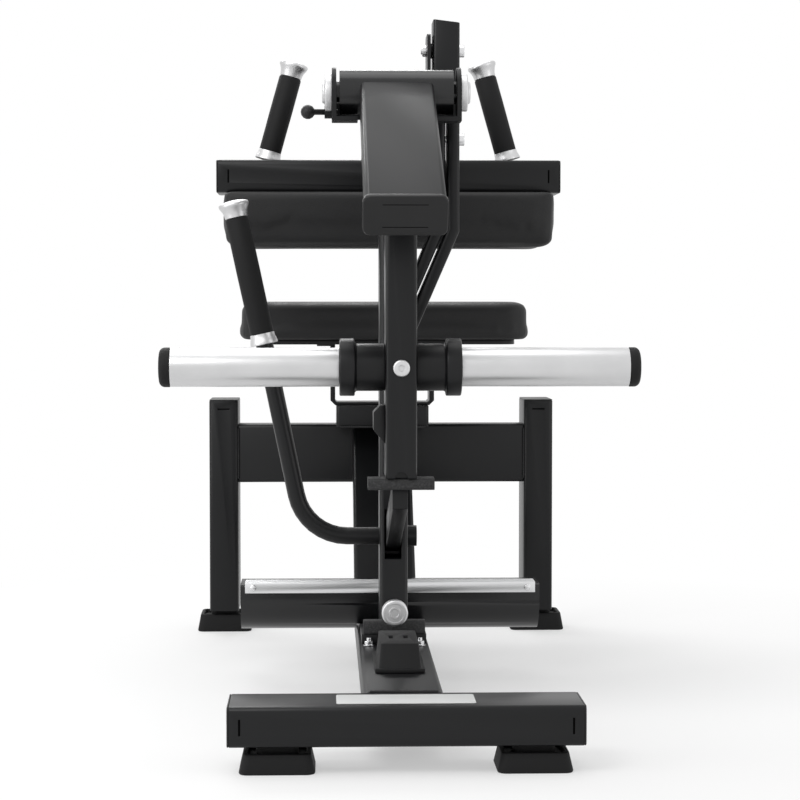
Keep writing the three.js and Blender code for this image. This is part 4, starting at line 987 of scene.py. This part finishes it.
bar_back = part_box("front_crossbar")[1].y
beam_low, beam_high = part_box("base_beam")
weld(
    "weld_bar_top", (beam_low.x + BEND, bar_back, beam_high.z),
    (beam_high.x - BEND, bar_back, beam_high.z), "frame")
rear_low, rear_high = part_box("rear_crossbeam")
for side, sign in (("left", -1), ("right", 1)):
    x = sign * beam_high.x
    weld(f"weld_bar_{side}", (x, bar_back, beam_low.z + BEND), (x, bar_back, beam_high.z - BEND), "frame")
    upright_low, upright_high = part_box(f"rear_upright_{side}")
    x = upright_high.x if sign < 0 else upright_low.x
    for face, y in (("front", rear_low.y), ("back", rear_high.y)):
        weld(
            f"weld_upright_{side}_{face}", (x, y, rear_low.z + BEND), (x, y, rear_high.z - BEND), "frame")
low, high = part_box("seat_pedestal")
weld("weld_pedestal", (low.x + BEND, low.y, low.z), (high.x - BEND, low.y, low.z), "frame")

# %% [markdown]
# ## Face of the end cap
# The large plug of the box arm shows two shallow lines on its face, one above the other. The shade in
# each is painted: a cube scaled to a thin dark strip, turned to the slope of the face and sunk until it only
# just shows.

# %% Lines of the arm cap
LINE_SIZE = (56 * MM, 0.6 * MM, 0.9 * MM)
LINE_SINK = 0.2 * MM
LINE_SPREAD = 15 * MM
TO_THE_FRONT = -0.7
front_faces = [face for face in arm_cap.data.polygons if face.normal.y < TO_THE_FRONT]
cap_face = max(front_faces, key=lambda face: face.area)
face_up = cap_face.normal.cross(Vector((1, 0, 0)))
slope = math.atan2(-face_up.y, face_up.z)
for name, sign in (("upper", 1), ("lower", -1)):
    bpy.ops.object.select_all(action="DESELECT")
    spot = cap_face.center + face_up * LINE_SPREAD * sign - cap_face.normal * LINE_SINK
    bpy.ops.mesh.primitive_cube_add(size=1, location=spot, rotation=(slope, 0, 0))
    line = bpy.context.object
    line.name = f"cap_line_{name}"
    line.scale = LINE_SIZE
    bpy.ops.object.transform_apply(location=True, rotation=True, scale=True)
    # Painted shade in a groove of the cap.
    coated(line, shadow, "weight_lever")
print("cap lines made")

# %% [markdown]
# ## Rubber shoes
# A shoe is a shallow tray of rubber: its sides lean in, its rim is round, and a low boss in the middle
# carries the tube. The tray is a plate whose upper vertices are scaled in. Its flat upper face is then
# inset for the rim, and inset again while it is pushed down.

# %% Shoes
SHOE_LEAN = 0.9
SHOE_CORNER = 11 * MM
SHOE_ROUND = 2.4 * MM
SHOE_ANGLE = math.radians(40)
RIM = 3 * MM
RIM_SLOPE = 1 * MM
TRAY = 6 * MM
FACE_WITHIN = 0.6 * MM
FRONT_WALL = 25 * MM
REAR_WALL = 30 * MM
BOSS_WIDTH = 52 * MM
BOSS_DEPTH = 48 * MM
BOSS_ROUND = 3.4 * MM


def select_upper(piece, level, flat_only):
    """Select what lies above a level, in edit mode: the flat upper face alone, or all the vertices."""
    alone(piece)
    bpy.ops.object.mode_set(mode="EDIT")
    bpy.ops.mesh.select_mode(type="FACE" if flat_only else "VERT")
    bpy.ops.mesh.select_all(action="DESELECT")
    bpy.ops.object.mode_set(mode="OBJECT")
    if flat_only:
        for face in piece.data.polygons:
            face.select = face.normal.z > PARALLEL and face.center.z > level
    else:
        for vertex in piece.data.vertices:
            vertex.select = vertex.co.z > level
    bpy.ops.object.mode_set(mode="EDIT")


def shoe(node, name, wall, boss_size):
    """A tray with a boss in it, in the box of the solid shoe."""
    low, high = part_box(node)
    middle = (low + high) / 2
    top = low.z + wall
    tray = rounded_plate(name, low, (high.x, high.y, top), Z, SHOE_CORNER, SHOE_ROUND)
    select_upper(tray, low.z + wall / 2, flat_only=False)
    bpy.ops.transform.resize(value=(SHOE_LEAN, SHOE_LEAN, 1), center_override=(middle.x, middle.y, top))
    bpy.ops.object.mode_set(mode="OBJECT")
    select_upper(tray, top - FACE_WITHIN, flat_only=True)
    bpy.ops.mesh.inset(thickness=RIM)
    bpy.ops.mesh.inset(thickness=RIM_SLOPE, depth=-RIM_SLOPE)
    bpy.ops.mesh.inset(thickness=RIM_SLOPE, depth=RIM_SLOPE - TRAY)
    bpy.ops.object.mode_set(mode="OBJECT")
    bpy.ops.object.shade_smooth_by_angle(angle=SHOE_ANGLE)
    stand_in(tray, node, rubber)
    half = Vector((*boss_size, 0)) / 2
    boss_low = Vector((middle.x, middle.y, top - TRAY)) - half
    boss_high = Vector((middle.x, middle.y, high.z)) + half
    boss = rounded_plate(f"{name}_boss", boss_low, boss_high, Z, SHOE_CORNER, BOSS_ROUND)
    coated(boss, rubber, "frame")


for side in ("left", "right"):
    shoe(f"front_foot_{side}", f"front_shoe_{side}", FRONT_WALL, (BOSS_WIDTH, BOSS_DEPTH))
    shoe(f"rear_foot_{side}", f"rear_shoe_{side}", REAR_WALL, (BOSS_DEPTH, BOSS_WIDTH))
print("shoes made")

# %% [markdown]
# ## Tread
# The foot tread is an aluminium extrusion. Its solid has the angle, and here it gets the fine ribs that
# keep a shoe from slipping. Each rib is a thin plate with a round rim, and a loop sets them side by side on
# the shelf. A screw at each end holds the tread.

# %% Tread ribs and screws
TREAD_EDGE = 0.4 * MM
RIB_COUNT = 6
RIB_FROM = 7 * MM
RIB_PITCH = 4.6 * MM
RIB_WIDE = 2 * MM
RIB_SINK = 0.2 * MM
RIB_RISE = 1.1 * MM
RIB_END_GAP = 1 * MM
RIB_CORNER = 0.3 * MM
RIB_ROUND = 0.5 * MM
SCREW = 4.9 * MM
SCREW_DEEP = 3 * MM
SCREW_ROUND = 1.6 * MM
SCREW_SOCKET = 2.4 * MM
SCREW_INSET = 12 * MM
SCREW_BACK = 3.2 * MM
SCREW_HEIGHT = 8 * MM
dressed("foot_rest_strip", tread_metal, edge=TREAD_EDGE)
low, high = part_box("foot_rest_strip")
rib_half = (high.x - low.x) / 2 - RIB_END_GAP
for index in range(RIB_COUNT):
    front = low.y + RIB_FROM + index * RIB_PITCH
    rib = rounded_plate(
        f"tread_rib_{index}", (-rib_half, front, high.z - RIB_SINK),
        (rib_half, front + RIB_WIDE, high.z + RIB_RISE), Z, RIB_CORNER, RIB_ROUND)
    coated(rib, tread_metal, "frame")
for side, sign in (("left", -1), ("right", 1)):
    spot = Vector((sign * (high.x - SCREW_INSET), low.y + SCREW_BACK, low.z + SCREW_HEIGHT))
    screw = socket_head(
        f"tread_screw_{side}", SCREW, SCREW_DEEP, SCREW_ROUND, SCREW_SOCKET, spot, (0, -1, 0))
    coated(screw, chrome, "frame")
print("tread ribs", RIB_COUNT)

# %% [markdown]
# ## Pads
# The seat and the thigh pad are foam under leatherette, pulled tight and stapled below. A block with
# rounded edges looks carved, so each pad is blown up a little as cloth: the shape is remeshed into even
# faces, its flat side is held, and air pressure from inside swells the rest until the sides bow. How far a
# point may move is capped, and the swollen pad is scaled back to the box of its solid.

# %% Rounded block of a pad
PAD_SEGMENTS = 6


def pad_block(name, low, high, corner, lower_edge, upper_edge):
    """A block with its own rounding for the plan corners, the lower edges and the upper edges."""

    def on_corner(first, second):
        return abs(first.z - second.z) >= SAME_PLACE

    def on_level(level):
        return lambda first, second: max(abs(first.z - level), abs(first.z - second.z)) < SAME_PLACE

    piece = block(name, low, high)
    bevel_where(piece, corner, PAD_SEGMENTS, on_corner)
    bevel_where(piece, lower_edge, PAD_SEGMENTS, on_level(low.z))
    bevel_where(piece, upper_edge, PAD_SEGMENTS, on_level(high.z))
    return piece


# %% Blow up one pad
VOXEL = 4.5 * MM
HELD_DEPTH = 1.2 * VOXEL
FIRST, LAST = 1, 20


def blow_up(piece, held_level, cap):
    """Swell a pad as cloth under pressure, with the flat side at one level held, and cap how far it moves."""
    start = [vertex.co.copy() for vertex in piece.data.vertices]
    held = piece.vertex_groups.new(name="held")
    near = [v.index for v in piece.data.vertices if abs(v.co.z - held_level) < HELD_DEPTH]
    held.add(near, 1.0, "REPLACE")
    cloth = piece.modifiers.new("skin", "CLOTH")
    cloth.settings.quality = 6
    cloth.settings.mass = 0.3
    cloth.settings.tension_stiffness = 18
    cloth.settings.compression_stiffness = 18
    cloth.settings.bending_stiffness = 0.6
    cloth.settings.use_pressure = True
    cloth.settings.uniform_pressure_force = 4
    cloth.settings.effector_weights.gravity = 0
    cloth.settings.vertex_group_mass = held.name
    cloth.point_cache.frame_start = FIRST
    cloth.point_cache.frame_end = LAST
    for number in range(FIRST, LAST + 1):
        bpy.context.scene.frame_set(number)
    alone(piece)
    bpy.ops.object.modifier_apply(modifier=cloth.name)
    bpy.context.scene.frame_set(FIRST)
    for vertex, before in zip(piece.data.vertices, start):
        move = vertex.co - before
        if move.length > cap:
            vertex.co = before + move.normalized() * cap


def fitted(piece, low, high):
    """Scale a swollen pad back to the box of its solid."""
    spots = [vertex.co for vertex in piece.data.vertices]
    for axis in range(3):
        least = min(spot[axis] for spot in spots)
        most = max(spot[axis] for spot in spots)
        share = (high[axis] - low[axis]) / (most - least)
        for spot in spots:
            spot[axis] = low[axis] + (spot[axis] - least) * share


print("pad helpers ready")

# %% Upholster the seat and the thigh pad
SHRINK = 2.5 * MM
SWELL_CAP = 2.4 * MM
SEAT_ROUNDS = {"corner": 34 * MM, "lower_edge": 9 * MM, "upper_edge": 13 * MM}
THIGH_ROUNDS = {"corner": 14 * MM, "lower_edge": 11 * MM, "upper_edge": 4 * MM}


def upholstered(node, name, rounds, held_high):
    """A pad in the box of its solid. Its stapled side is held: the upper one or the lower one."""
    low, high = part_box(node)
    inset = Vector((SHRINK, SHRINK, 0))
    start_low = low + inset + Vector((0, 0, SHRINK if held_high else 0))
    start_high = high - inset - Vector((0, 0, 0 if held_high else SHRINK))
    piece = pad_block(name, start_low, start_high, **rounds)
    remesh = piece.modifiers.new("even_faces", "REMESH")
    remesh.mode = "VOXEL"
    remesh.voxel_size = VOXEL
    remesh.use_smooth_shade = True
    bpy.ops.object.modifier_apply(modifier=remesh.name)
    blow_up(piece, high.z if held_high else low.z, SWELL_CAP)
    smooth = piece.modifiers.new("even_skin", "SMOOTH")
    smooth.factor = 0.5
    smooth.iterations = 2
    bpy.ops.object.modifier_apply(modifier=smooth.name)
    skin = piece.modifiers.new("fine_skin", "SUBSURF")
    skin.levels = 1
    skin.render_levels = 1
    bpy.ops.object.modifier_apply(modifier=skin.name)
    fitted(piece, low, high)
    bpy.ops.object.shade_smooth()
    stand_in(piece, node, leather)
    print(name, "triangles", sum(len(p.vertices) - 2 for p in piece.data.polygons))


upholstered("seat_cushion", "seat_pad", SEAT_ROUNDS, held_high=False)
upholstered("thigh_pad", "knee_pad", THIGH_ROUNDS, held_high=True)

# %% [markdown]
# ## Floor and light
# The machine stands on a plain pale floor in soft light. The world lights it evenly and is plain white to
# the camera and in reflections. Close to the machine the floor takes its shadow, and further out it fades
# to the same white, so that no horizon shows. That white is only seen, so it lights nothing. A wide lamp
# high on the left, a narrow strip at the left, a weak one at the right, one overhead and one behind shape
# the tubes.

# %% World
DIRECT_RAYS = ("Is Camera Ray", "Is Glossy Ray", "Is Transmission Ray")
WHITE = (1, 1, 1, 1)
WORLD_LIGHT = 0.55


def seen_directly(tree):
    """1 for a ray that shows a surface, also in a reflection or through glass, and 0 for one that lights."""
    camera_ray, glossy_ray, through_ray = (
        tree.node("ShaderNodeLightPath", output=ray) for ray in DIRECT_RAYS)
    return camera_ray + glossy_ray + through_ray


world = bpy.data.worlds.new("studio")
bpy.context.scene.world = world
world.use_nodes = True
studio = Tree(world.node_tree)
lit = studio.node("ShaderNodeBackground", sockets={"Color": WHITE, "Strength": WORLD_LIGHT})
white = studio.node("ShaderNodeBackground", sockets={"Color": WHITE, "Strength": 1.0})
surround = studio.node("ShaderNodeMixShader", sockets={0: seen_directly(studio), 1: lit, 2: white})
studio.tree.links.new(surround.socket, studio.tree.nodes["World Output"].inputs["Surface"])
print("world ready")

# %% Floor
FLOOR_SIZE = 40
FLOOR_COLOUR = (0.93, 0.93, 0.93, 1)
FADE_FROM = 0.5
FADE_TO = 1.4
LEAST_FADE = 0.42
bpy.ops.object.select_all(action="DESELECT")
bpy.ops.mesh.primitive_plane_add(size=FLOOR_SIZE)
floor = bpy.context.object
floor.name = "floor"
floor_finish = Finish("pale_floor")
far = floor_finish.node(
    "ShaderNodeVectorMath", {"operation": "LENGTH"}, {0: floor_finish.place}, output="Value")
fade = floor_finish.node(
    "ShaderNodeMapRange",
    sockets={"Value": far, "From Min": FADE_FROM, "From Max": FADE_TO, "To Min": LEAST_FADE})
floor_finish.set(Base_Color=FLOOR_COLOUR, Roughness=0.8)
matt = Wire(floor_finish.tree, floor_finish.shader.outputs["BSDF"])
glow = floor_finish.node("ShaderNodeEmission", sockets={"Color": WHITE, "Strength": 1.0})
surface = floor_finish.node(
    "ShaderNodeMixShader", sockets={0: fade * seen_directly(floor_finish), 1: matt, 2: glow})
floor_finish.tree.links.new(
    surface.socket, floor_finish.tree.nodes["Material Output"].inputs["Surface"])
floor.data.materials.append(floor_finish.material)
floor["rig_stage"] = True
print("floor ready")


# %% Lamps
LAMP_TARGET = Vector((0, 0, 0.5))


def soft_lamp(name, place, size, power):
    bpy.ops.object.light_add(type="AREA", location=place)
    lamp = bpy.context.object
    lamp.name = name
    lamp.data.shape = "RECTANGLE"
    lamp.data.size, lamp.data.size_y = size
    lamp.data.energy = power
    lamp.rotation_euler = (LAMP_TARGET - Vector(place)).to_track_quat("-Z", "Y").to_euler()


soft_lamp("key", place=(-1.5, -2.4, 2.4), size=(1.4, 1.0), power=30)
soft_lamp("strip_left", place=(-2.3, -1.3, 0.9), size=(0.3, 2.2), power=14)
soft_lamp("fill_right", place=(2.4, -1.6, 1.2), size=(1.0, 1.8), power=8)
soft_lamp("top", place=(-0.3, 0.0, 3.0), size=(1.8, 1.8), power=16)
soft_lamp("rim", place=(-0.9, 2.4, 2.6), size=(2.6, 0.7), power=40)
print("lamps ready")

# %% [markdown]
# ## Size of the dressed machine
# The dressed machine has to keep the size of its frame, so its box is printed.

# %% Sizes and finish
low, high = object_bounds()
print("visual box", [round(v, 4) for v in (*low, *high)])
